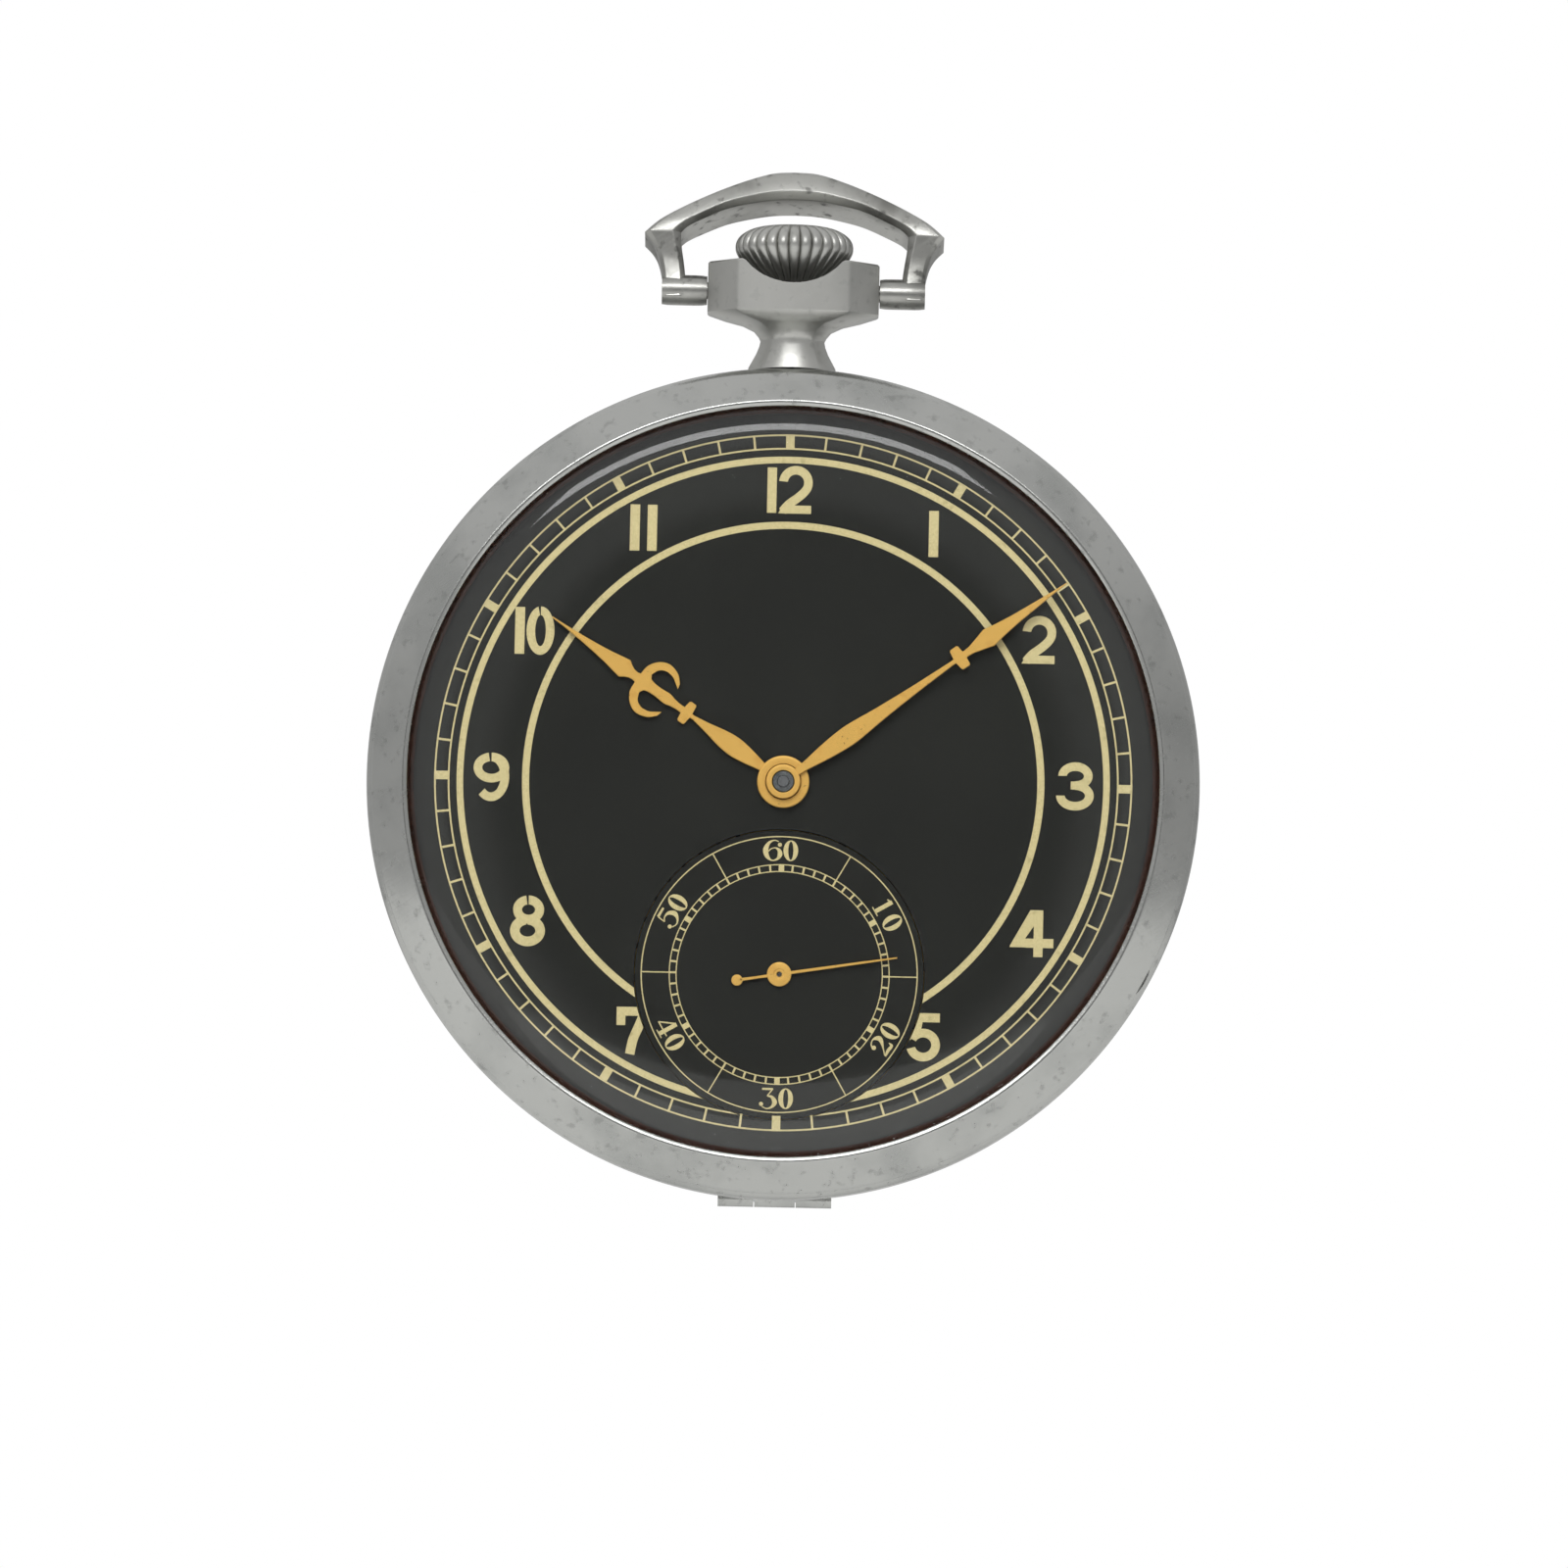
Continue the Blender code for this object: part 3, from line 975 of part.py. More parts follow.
def make_escapement():
    root = ESCAPE_R - 0.7 * MM
    outline = []
    pitch = 2 * pi / ESCAPE_TEETH
    # the wheel rests with a tooth on the line of centres, between the pallets
    start = LINE_OF_CENTRES
    for i in range(ESCAPE_TEETH):
        a = start + i * pitch
        outline += [polar(ESCAPE, root, a - 0.14), polar(ESCAPE, ESCAPE_R, a - 0.02),
                    polar(ESCAPE, ESCAPE_R, a + 0.03), polar(ESCAPE, root, a + 0.1)]
    holes = [circle(ESCAPE, 0.35 * MM, 10), *windows(ESCAPE, 0.9 * MM, root - 0.35 * MM, 4)]
    top = ESCAPE_WHEEL_H + 0.15 * MM
    piece("escape_wheel", plate(outline, holes, ESCAPE_WHEEL_H, top), "steel",
          on_axis(ESCAPE, ESCAPE_WHEEL_H))

    def along(u, w):
        base = polar(PALLET, u, LINE_OF_CENTRES)
        return polar(base, w, LINE_OF_CENTRES + pi / 2)

    reach = distance(PALLET, BALANCE_AT) - 1.15 * MM
    half = [along(-0.2 * MM, 0.35 * MM), along(-0.4 * MM, 1.5 * MM), along(-0.9 * MM, 1.7 * MM),
            along(-1.12 * MM, 1.92 * MM), along(-0.95 * MM, 2.15 * MM), along(-0.25 * MM, 1.9 * MM),
            along(0.45 * MM, 0.45 * MM),
            along(1.0 * MM, 0.18 * MM), along(reach - 0.5 * MM, 0.16 * MM),
            along(reach - 0.2 * MM, 0.55 * MM), along(reach + 0.12 * MM, 0.6 * MM),
            along(reach + 0.12 * MM, 0.3 * MM), along(reach - 0.1 * MM, 0.28 * MM)]
    turn = 2 * LINE_OF_CENTRES
    mirrored = []
    for x, z in half[::-1]:
        dx, dz = x - PALLET[0], z - PALLET[1]
        mirrored.append((PALLET[0] + dx * cos(turn) + dz * sin(turn),
                         PALLET[1] + dx * sin(turn) - dz * cos(turn)))
    fork = plate(half + mirrored, [], ESCAPE_WHEEL_H, top)
    fork = piece("pallet_fork", fork, "steel", on_axis(PALLET, ESCAPE_WHEEL_H))
    fill(fork, turned(PALLET, [(PIVOT_R, 3.0 * MM), (PIVOT_R, PLATE_TOP_H - 0.4 * MM)], 8))

    rim = [(BALANCE_R, BALANCE_LOW_H), (BALANCE_R, BALANCE_TOP_H), (BALANCE_R - 0.7 * MM, BALANCE_TOP_H),
           (BALANCE_R - 0.7 * MM, BALANCE_LOW_H)]
    rim = turned(BALANCE_AT, rim, 32, True)
    balance = piece("balance_wheel", rim, "gold", on_axis(BALANCE_AT, BALANCE_LOW_H))
    ends = [polar(BALANCE_AT, BALANCE_R - 0.7 * MM, LINE_OF_CENTRES + side * pi / 2) for side in (-1, 1)]
    arm_low = BALANCE_LOW_H + 0.2 * MM
    fill(balance, plate(bar(*ends, 0.35 * MM), [], arm_low, arm_low + 0.2 * MM))
    fill(balance, turned(BALANCE_AT, [(0.9 * MM, arm_low - 0.05 * MM), (0.9 * MM, arm_low + 0.25 * MM)], 12))
    cut(balance, turned(BALANCE_AT, [(0.42 * MM, 1 * MM), (0.42 * MM, 3 * MM)], 12))
    staff = [(0.12 * MM, BRIDGE_LOW_H + 0.15 * MM), (0.12 * MM, BRIDGE_LOW_H + BRIDGE_THICK + 0.05 * MM),
             (0.37 * MM, BRIDGE_LOW_H + BRIDGE_THICK + 0.1 * MM), (0.37 * MM, 2.7 * MM), (0.25 * MM, 2.7 * MM),
             (0.25 * MM, 3.0 * MM), (1.25 * MM, 3.0 * MM), (1.25 * MM, 3.2 * MM), (0.25 * MM, 3.2 * MM),
             (0.25 * MM, 4.3 * MM), (0.12 * MM, 4.4 * MM), (0.12 * MM, PLATE_TOP_H - 0.4 * MM)]
    staff = piece("balance_staff", turned(BALANCE_AT, staff, 16), "steel", on_axis(BALANCE_AT, 3.0 * MM))
    jewel = polar(BALANCE_AT, 0.98 * MM, LINE_OF_CENTRES + pi)
    fill(staff, turned(jewel, [(0.15 * MM, 3.1 * MM), (0.15 * MM, top + 0.05 * MM)], 8))
    strip = spiral(BALANCE_AT, 0.6 * MM, 3.4 * MM, 6, 0.08 * MM, 12)
    piece("hairspring", ribbon(*strip, BRIDGE_LOW_H + BRIDGE_THICK + 0.13 * MM, BALANCE_LOW_H + 0.08 * MM), "blue")
    tail = polar(BALANCE_AT, 4.6 * MM, direction(BALANCE_AT, COCK_FOOT) + 0.9)
    low = BRIDGE_LOW_H - 0.23 * MM
    lever = plate(bar(BALANCE_AT, tail, 0.3 * MM), [], low, low + 0.18 * MM)
    lever = piece("regulator", lever, "steel", on_axis(BALANCE_AT, low))
    fill(lever, plate(circle(BALANCE_AT, 1.4 * MM, 16), [], low + 0.01 * MM, low + 0.17 * MM))
    cut(lever, turned(BALANCE_AT, [(0.5 * MM, 0.1 * MM), (0.5 * MM, 3 * MM)], 12))


def clear_scene():
    for thing in list(bpy.data.objects):
        bpy.data.objects.remove(thing, do_unlink=True)


def main():
    clear_scene()
    make_case_middle()
    make_back_cover()
    make_bezel()
    make_pendant()
    make_bow()
    make_crown_and_stem()
    make_dial()
    make_hands()
    make_motion_work()
    make_main_plate()
    make_bridges()
    make_screws()
    make_barrel()
    make_winding()
    make_keyless_work()
    make_train()
    make_escapement()


main()
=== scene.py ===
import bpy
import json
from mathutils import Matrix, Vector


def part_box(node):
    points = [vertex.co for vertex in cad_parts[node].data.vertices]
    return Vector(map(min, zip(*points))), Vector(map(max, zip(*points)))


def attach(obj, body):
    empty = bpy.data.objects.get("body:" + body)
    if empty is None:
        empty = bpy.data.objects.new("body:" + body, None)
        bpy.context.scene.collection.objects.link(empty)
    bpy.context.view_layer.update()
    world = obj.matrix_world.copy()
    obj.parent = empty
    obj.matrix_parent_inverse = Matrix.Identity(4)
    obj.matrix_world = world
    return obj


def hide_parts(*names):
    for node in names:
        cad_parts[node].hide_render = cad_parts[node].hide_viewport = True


bl_info = {
    "name": "Open Face Pocket Watch",
    "version": (1, 0, 0),
    "blender": (4, 5, 0),
    "location": "3D View > Sidebar > Watch",
    "description": "Builds the finished look of an open face pocket watch around its engineering frame",
    "category": "Object",
}

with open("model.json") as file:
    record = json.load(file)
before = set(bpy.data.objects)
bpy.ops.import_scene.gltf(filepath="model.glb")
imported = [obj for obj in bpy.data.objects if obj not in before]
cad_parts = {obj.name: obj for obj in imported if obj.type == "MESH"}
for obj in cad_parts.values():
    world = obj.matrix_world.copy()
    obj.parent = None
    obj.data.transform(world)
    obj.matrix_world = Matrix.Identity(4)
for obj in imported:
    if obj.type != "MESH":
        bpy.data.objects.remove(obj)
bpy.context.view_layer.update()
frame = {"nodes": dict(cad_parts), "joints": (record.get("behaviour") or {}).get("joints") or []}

import json
from math import atan2, cos, degrees, hypot, pi, radians, sin, sqrt

import bmesh
import bpy
from mathutils import Matrix, Vector, geometry

MM = 0.001


# ---- sizes from the engineering frame, in millimetres --------------------------------------
def front(node):
    """The height of a part's front face over the back of the watch."""
    return -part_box(node)[0].y / MM


def rear(node):
    """The height of a part's rear face."""
    return -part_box(node)[1].y / MM


def half_width(node):
    low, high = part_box(node)
    return (high.x - low.x) / 2 / MM


def middle(node):
    """The middle of a part as (x, z), as the dial is read."""
    low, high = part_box(node)
    return ((low.x + high.x) / 2 / MM, (low.z + high.z) / 2 / MM)


def joint_place(name):
    """A joint's height and z."""
    _, y, z = next(j for j in frame["joints"] if j["name"] == name)["pos_m"]
    return -y / MM, z / MM


# _R is a radius, _H a height over the back of the watch, _Z a place up the dial
CASE_R = half_width("case_middle")
BACK_R = half_width("back_cover")
BEZEL_R = half_width("bezel")
BEZEL_LOW_H = rear("bezel")
BEZEL_LIP_H = front("bezel")
BAND_TOP_H = BEZEL_LOW_H - 0.1
APERTURE_R = half_width("crystal") - 0.4
CRYSTAL_H = front("crystal")
DIAL_H = front("dial")
DIAL_R = half_width("dial")
SUBDIAL_H = front("seconds_subdial")
SUBDIAL_R = half_width("seconds_subdial")
SUBDIAL_AT = (0.0, middle("seconds_subdial")[1])
STEM_H = -(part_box("crown")[0].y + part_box("crown")[1].y) / 2 / MM
CROWN_LOW_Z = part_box("crown")[0].z / MM
CROWN_R = half_width("crown")
BLOCK_X = half_width("pendant")
PIVOT_Z = joint_place("bow_swing")[1]
HINGE_H, HINGE_Z = joint_place("back_open")
EDGE_H = HINGE_H - 0.1
HINGE_HALF = half_width("back_hinge_pin")
KNUCKLE_HALF = HINGE_HALF - 2.15
HINGE_R = 0.5
PIN_HOLE = (-5, 5, 0.22)  # its two ends and its radius
STEM_BORE_R = 0.76
FIT = 0.05  # clearance between moving metal parts
FINE_SIDES = 256


# ---- meshes --------------------------------------------------------------------------------
def around(count, radius, start=0.0):
    """Points on a circle as (x, z), clockwise from twelve o'clock as the dial is read."""
    step = 2 * pi / count
    return [(radius * sin(start + i * step), radius * cos(start + i * step)) for i in range(count)]


def outward(mesh):
    bmesh.ops.recalc_face_normals(mesh, faces=mesh.faces)
    return mesh


def skin(rings, loop=False):
    """Quads between rings of equally many (x, y, z) points in millimetres, and their corners."""
    mesh = bmesh.new()
    rows = [[mesh.verts.new([c * MM for c in p]) for p in ring] for ring in rings]
    for a, b in zip(rows, rows[1:] + rows[:loop]):
        for i in range(len(a)):
            j = (i + 1) % len(a)
            mesh.faces.new((a[i], a[j], b[j], b[i]))
    return mesh, rows


def loft(rings, loop=False):
    """A closed skin over rings: its last ring meets its first, or a fan closes each end."""
    mesh, rows = skin(rings, loop)
    for row in () if loop else (rows[0], rows[-1]):
        tip = mesh.verts.new(sum((v.co for v in row), Vector()) / len(row))
        for i, corner in enumerate(row):
            mesh.faces.new((corner, row[(i + 1) % len(row)], tip))
    return outward(mesh)


def disc(centre, radius, count):
    return [(centre[0] + x, centre[1] + z) for x, z in around(count, radius)]


def lathe(profile, sides=192, centre=(0.0, 0.0), loop=False):
    """A shape turned about an axis through the dial, from (radius, height) pairs."""
    return loft([[(x, -h, z) for x, z in disc(centre, r, sides)] for r, h in profile], loop)


def upright_lathe(profile, sides):
    """A shape turned about the winding stem, from (radius, z) pairs."""
    return loft([[(x, y - STEM_H, z) for x, y in around(sides, r)] for r, z in profile])


def rounded(profile, radius, steps):
    """A copy of a closed profile with each corner rounded; a corner may carry its own radius."""
    points = []
    count = len(profile)
    for i, corner in enumerate(profile):
        r = corner[2] if len(corner) > 2 else radius
        here = Vector(corner[:2])
        before = Vector(profile[i - 1][:2]) - here
        after = Vector(profile[(i + 1) % count][:2]) - here
        reach = min(r, 0.45 * before.length, 0.45 * after.length)
        if reach < 1e-4:
            points.append(tuple(here))
            continue
        a = here + before.normalized() * reach
        b = here + after.normalized() * reach
        for k in range(steps + 1):
            t = k / steps
            p = a * (1 - t) ** 2 + here * 2 * t * (1 - t) + b * t * t
            points.append((p.x, p.y))
    return points


def curve_through(points, steps):
    """A smooth line through points of any size, by Catmull and Rom's rule."""
    line = []
    last = len(points) - 1
    for i in range(last):
        a, b, c, d = [Vector(points[min(max(i + k, 0), last)]) for k in (-1, 0, 1, 2)]
        for k in range(steps):
            t = k / steps
            line.append(0.5 * ((2 * b) + (c - a) * t + (2 * a - 5 * b + 4 * c - d) * t * t
                               + (3 * b - a - 3 * c + d) * t ** 3))
    return [*line, Vector(points[-1])]


def united(shapes, without=()):
    """Flat shapes merged into one set of triangles, leaving out what lies in other shapes."""
    points, faces = [], []
    for shape in list(shapes) + list(without):
        turn = sum(a[0] * b[1] - b[0] * a[1] for a, b in zip(shape, [*shape[1:], shape[0]]))
        if abs(turn) < 1e-7:
            continue
        faces.append(list(range(len(points), len(points) + len(shape))))
        points += [Vector(p) for p in (shape if turn > 0 else shape[::-1])]
    found = geometry.delaunay_2d_cdt(points, [], faces, 1, 1e-5, True)
    corners, triangles, origin = found[0], found[2], found[5]
    kept = [t for t, o in zip(triangles, origin) if o and max(o) < len(shapes)]
    return corners, kept


def slab(flat, low, high):
    """A thin solid from flat triangles in (x, z), between two heights."""
    corners, triangles = flat
    mesh = bmesh.new()
    used = sorted({i for t in triangles for i in t})
    tops, lows = [{i: mesh.verts.new((corners[i].x * MM, -h * MM, corners[i].y * MM)) for i in used}
                  for h in (high, low)]
    edges = {}
    for t in triangles:
        mesh.faces.new([tops[i] for i in t])
        mesh.faces.new([lows[i] for i in reversed(t)])
        edges.update(dict.fromkeys(zip(t, [*t[1:], t[0]])))
    for a, b in edges:
        if (b, a) not in edges:
            mesh.faces.new((tops[a], lows[a], lows[b], tops[b]))
    return outward(mesh)


def ring_shapes(radius, width, count=180, centre=(0.0, 0.0)):
    """A flat ring as a chain of quads."""
    low, high, step = radius - width / 2, radius + width / 2, 2 * pi / count
    shapes = []
    for a, b in zip(range(count), range(1, count + 1)):
        corners = ((low, a * step), (high, a * step), (high, b * step), (low, b * step))
        shapes.append([(centre[0] + r * sin(t), centre[1] + r * cos(t)) for r, t in corners])
    return shapes


def pen(points, steps=6):
    """A stroke of changing width along (x, z, width) points, as a chain of quads."""
    line = curve_through(points, steps)
    sides = []
    for i, p in enumerate(line):
        ahead, behind = line[min(i + 1, len(line) - 1)], line[max(i - 1, 0)]
        along = (ahead.xy - behind.xy).normalized()
        across = Vector((-along.y, along.x)) * p.z / 2
        sides.append((p.xy + across, p.xy - across))
    quads = []
    for a, b in zip(sides, sides[1:]):
        centre = (a[0] + a[1] + b[0] + b[1]) / 4
        quads.append(sorted([*a, *b], key=lambda p: atan2(p.y - centre.y, p.x - centre.x)))
    return quads


def to_data(mesh, name="shape"):
    """A mesh datablock made from a bmesh, which is freed."""
    data = bpy.data.meshes.new(name)
    mesh.to_mesh(data)
    mesh.free()
    return data


def joined(meshes):
    """Several closed meshes as one."""
    whole = bmesh.new()
    for mesh in meshes:
        data = to_data(mesh)
        whole.from_mesh(data)
        bpy.data.meshes.remove(data)
    return whole


def moved(mesh, matrix):
    bmesh.ops.transform(mesh, matrix=matrix, verts=mesh.verts)
    return mesh


# ---- pieces --------------------------------------------------------------------------------
def in_scene(name, data):
    thing = bpy.data.objects.new(name, data)
    bpy.context.scene.collection.objects.link(thing)
    return thing


def evaluated(thing):
    """The mesh that an object's modifiers make; the object is removed."""
    thing.update_tag()
    view = bpy.context.evaluated_depsgraph_get()
    data = bpy.data.meshes.new_from_object(thing.evaluated_get(view))
    bpy.data.objects.remove(thing, do_unlink=True)
    mesh = bmesh.new()
    mesh.from_mesh(data)
    bpy.data.meshes.remove(data)
    return mesh


def piece(name, mesh, material, body, replaces=(), sharp=32.0):
    """A finished object that rides on a body of the frame; edges over sharp degrees stay crisp."""
    data = to_data(mesh, name)
    data.shade_smooth()
    data.set_sharp_from_angle(angle=radians(sharp))
    data.materials.append(material)
    thing = in_scene(name, data)
    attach(thing, body)
    if replaces:
        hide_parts(*replaces)


def carved(mesh, cutters, joins=()):
    """The mesh with other closed meshes added to it, and then others cut away."""
    target = in_scene("target", to_data(mesh))
    tools = []
    for kind, shapes in (("UNION", joins), ("DIFFERENCE", cutters)):
        for shape in shapes:
            tools.append(in_scene("tool", to_data(shape)))
            modifier = target.modifiers.new(kind, "BOOLEAN")
            modifier.operation = kind
            modifier.object = tools[-1]
            modifier.solver = "EXACT"
    result = evaluated(target)
    for tool in tools:
        bpy.data.objects.remove(tool, do_unlink=True)
    return result


def dress(node, material):
    """A frame part keeps its shape and gets its finish."""
    thing = frame["nodes"][node]
    thing.data.materials.clear()
    thing.data.materials.append(material)


# ---- finishes ------------------------------------------------------------------------------
class Signal:
    """A socket that can be added, scaled and raised like a number."""

    def __init__(self, tree, socket):
        self.tree = tree
        self.socket = socket

    def __add__(self, other):
        return maths("ADD", self, other)

    def __radd__(self, other):
        return maths("ADD", other, self)

    def __sub__(self, other):
        return maths("SUBTRACT", self, other)

    def __rsub__(self, other):
        return maths("SUBTRACT", other, self)

    def __mul__(self, other):
        return maths("MULTIPLY", self, other)

    def __rmul__(self, other):
        return maths("MULTIPLY", other, self)

    def __pow__(self, other):
        return maths("POWER", self, other)

    def __rpow__(self, other):
        return maths("POWER", other, self)


class Nodes:
    """A node tree while it is being put together."""

    def __init__(self, tree):
        self.tree = tree

    def node(self, kind, inputs=None, output=0, **settings):
        """A new node, its settings before its sockets; the signal of one output comes back."""
        node = self.tree.nodes.new(kind)
        for key, value in settings.items():
            setattr(node, key, value)
        for key, value in (inputs or {}).items():
            if isinstance(value, Signal):
                self.tree.links.new(value.socket, node.inputs[key])
            else:
                node.inputs[key].default_value = value
        return Signal(self.tree, node.outputs[output]) if node.outputs else None

    def ramp(self, signal, low, high, at_low=0.0, at_high=1.0):
        """A smooth step in a signal, from at_low to at_high."""
        limits = {"From Min": low, "From Max": high, "To Min": at_low, "To Max": at_high}
        return self.node("ShaderNodeMapRange", {"Value": signal, **limits},
                         interpolation_type="SMOOTHSTEP")

    def axes(self, vector):
        split = self.node("ShaderNodeSeparateXYZ", {0: vector})
        return [Signal(self.tree, s) for s in split.socket.node.outputs]


def maths(operation, *values):
    """A Math node over signals and plain numbers."""
    tree = next(v.tree for v in values if isinstance(v, Signal))
    return Nodes(tree).node("ShaderNodeMath", dict(enumerate(values)), operation=operation)


def linear(red, green, blue):
    """A colour given as it looks on a screen, 0 to 255."""
    shares = [value / 255 for value in (red, green, blue)]
    return (*(s / 12.92 if s <= 0.04045 else ((s + 0.055) / 1.055) ** 2.4 for s in shares), 1.0)


class Finish(Nodes):
    """One material while it is being put together, over places in millimetres."""

    def __init__(self, name):
        self.material = bpy.data.materials.new(name)
        self.material.use_nodes = True
        super().__init__(self.material.node_tree)
        self.tree.nodes.clear()
        at = self.node("ShaderNodeTexCoord", output="Object")
        self.place = self.node("ShaderNodeVectorMath", {0: at, "Scale": 1 / MM}, operation="SCALE")

    def noise(self, scale, detail=3.0, stretch=(1.0, 1.0, 1.0), vector=None):
        """Cloudy variation from 0 to 1, with scale counted per millimetre."""
        where = self.node("ShaderNodeVectorMath", {0: vector or self.place, 1: stretch},
                          operation="MULTIPLY")
        return self.node("ShaderNodeTexNoise", {"Vector": where, "Scale": scale, "Detail": detail},
                         "Fac", noise_dimensions="3D")

    def patches(self, scale, detail, low, high):
        """Noise that is 0 below one level and 1 above another."""
        return self.ramp(self.noise(scale, detail), low, high)

    def scratches(self, scale=0.35, angle=0.6, width=0.035):
        """Sparse hairlines, from a stretched and turned noise."""
        turned = self.node("ShaderNodeVectorRotate", {"Vector": self.place, "Angle": angle},
                           rotation_type="Y_AXIS")
        lines = self.noise(scale, 2.0, (0.35, 1.0, 14.0), turned)
        return self.ramp(maths("ABSOLUTE", lines - 0.5), 0.0, width, 1.0, 0.0)

    def blend(self, share, a, b):
        """A mix of two colours; a plain one is given as it looks on a screen."""
        a, b = [c if isinstance(c, Signal) else linear(*c) for c in (a, b)]
        return self.node("ShaderNodeMix", {0: share, 6: a, 7: b}, 2, data_type="RGBA")

    def surface(self, bump=None, **inputs):
        """A Principled shader; bump is a height, its strength and its distance."""
        named = {key.replace("_", " ").title(): value for key, value in inputs.items()}
        if "Ior" in named:
            named["IOR"] = named.pop("Ior")
        if bump:
            height, strength, distance = bump
            named["Normal"] = self.node(
                "ShaderNodeBump",
                {"Strength": strength, "Distance": distance * MM, "Height": height}, "Normal")
        return self.node("ShaderNodeBsdfPrincipled", named, "BSDF")

    def done(self, shader=None, **inputs):
        """The material with a shader, or with a Principled surface of these inputs."""
        self.node("ShaderNodeOutputMaterial", {"Surface": shader or self.surface(**inputs)})
        return self.material


def worn_metal(name, light, dark, roughness, brushed=0.0, wear=1.0):
    """Polished metal with cloudy tarnish, specks and fine hairlines."""
    finish = Finish(name)
    cloud = finish.patches(0.22, 4.0, 0.42, 0.72)
    grime = finish.patches(1.6, 6.0, 0.56, 0.72)
    speck = finish.patches(9.0, 2.0, 0.72, 0.8)
    hair = finish.scratches() * 0.5 + finish.scratches(0.5, -0.9, 0.02) * 0.5
    colour = finish.blend(cloud * 0.5 * wear, light, dark)
    colour = finish.blend(grime * 0.3 * wear, colour, [0.7 * v for v in dark])
    colour = finish.blend(speck * 0.45 * wear, colour, [0.45 * v for v in dark])
    rough = roughness + cloud * 0.06 * wear + grime * 0.1 * wear + hair * 0.05 * wear
    height = hair * -0.5 + finish.noise(0.6) * 0.8 + finish.noise(18.0, 2.0) * 0.15
    if brushed:
        x, _, z = finish.axes(finish.place)
        radius = maths("SQRT", x * x + z * z)
        rings = finish.node("ShaderNodeTexNoise", {"W": radius, "Scale": 14.0, "Detail": 3.0},
                            "Fac", noise_dimensions="1D")
        height = height + rings * brushed
    return finish.done(base_color=colour, metallic=1.0, roughness=rough, bump=(height, 0.25, 0.012))


def enamel(name):
    """Smooth black dial lacquer with dust, faint blotches and hairlines."""
    finish = Finish(name)
    blotch = finish.patches(0.12, 5.0, 0.35, 0.75)
    dust = finish.patches(7.0, 3.0, 0.72, 0.8)
    hair = finish.scratches(0.22, 0.3, 0.012)
    colour = finish.blend(blotch * 0.6, (15, 15, 12), (21, 21, 17))
    colour = finish.blend(dust * 0.35, colour, (120, 115, 100))
    return finish.done(base_color=colour, roughness=0.42 + blotch * 0.06 + hair * 0.05,
                       ior=1.45, bump=(finish.noise(0.8), 0.04, 0.01))


def print_paint(name):
    """Cream dial paint, slightly grainy and rubbed."""
    finish = Finish(name)
    grain = finish.patches(6.0, 5.0, 0.35, 0.7)
    rubbed = finish.patches(1.3, 6.0, 0.6, 0.72)
    colour = finish.blend(grain * 0.5, (208, 192, 144), (186, 170, 122))
    colour = finish.blend(rubbed * 0.4, colour, (150, 136, 92))
    return finish.done(base_color=colour, roughness=0.6 + grain * 0.1, bump=(grain, 0.15, 0.006))


def gold(name):
    """Gilt brass of the hands, dulled here and there."""
    finish = Finish(name)
    dull = finish.patches(1.1, 5.0, 0.5, 0.75)
    speck = finish.patches(5.0, 4.0, 0.66, 0.72)
    colour = finish.blend(dull * 0.55, (232, 182, 96), (206, 152, 70))
    colour = finish.blend(speck * 0.7, colour, (92, 58, 22))
    return finish.done(base_color=colour, metallic=0.35, roughness=0.34 + dull * 0.14,
                       bump=(finish.noise(12.0), 0.12, 0.006))


def striped_gilt(name):
    """Gilt bridges and plates with parallel stripes, as a movement is decorated."""
    finish = Finish(name)
    x, _, z = finish.axes(finish.place)
    across = x * 0.82 + z * 0.57
    stripe = maths("SINE", across * 5.2) * 0.5 + 0.5
    grain = finish.noise(3.0, 4.0)
    colour = finish.blend(stripe * 0.6 + grain * 0.2, (196, 156, 84), (226, 190, 118))
    return finish.done(base_color=colour, metallic=0.95, roughness=0.26 + stripe * 0.12,
                       bump=(stripe * 0.7 + grain * 0.3, 0.2, 0.015))


def turned_metal(name, light, dark, roughness):
    """Small wheels and screws, stained here and there, with fine drawn-out marks."""
    finish = Finish(name)
    marks = finish.noise(6.0, 4.0, (1.0, 0.2, 1.0))
    stain = finish.patches(0.9, 5.0, 0.45, 0.75)
    colour = finish.blend(stain * 0.6, light, dark)
    return finish.done(base_color=colour, metallic=1.0, roughness=roughness + marks * 0.1,
                       bump=(marks, 0.12, 0.006))


def ruby(name):
    """Polished red jewel stone."""
    finish = Finish(name)
    depth = finish.patches(4.0, 3.0, 0.3, 0.7)
    colour = finish.blend(depth, (150, 16, 40), (196, 44, 70))
    return finish.done(base_color=colour, roughness=0.08, coat_weight=0.8, bump=(depth, 0.05, 0.004))


def glass(name):
    """Clear crystal: seen through straight on, mirrored at a slant, with a few hairlines."""
    finish = Finish(name)
    hair = finish.scratches(0.16, 0.9, 0.01)
    smear = finish.patches(0.2, 4.0, 0.4, 0.8)
    gloss = finish.surface(base_color=WHITE, metallic=1.0, roughness=0.05 + smear * 0.03)
    clear = finish.node("ShaderNodeBsdfTransparent", {"Color": (0.985, 0.99, 0.985, 1.0)}, "BSDF")
    slant = finish.node("ShaderNodeLayerWeight", {"Blend": 0.5}, "Facing")
    share = slant ** 5.0 * 0.8 + hair * 0.006 + 0.03
    return finish.done(finish.node("ShaderNodeMixShader", {0: share, 1: clear, 2: gloss}, "Shader"))


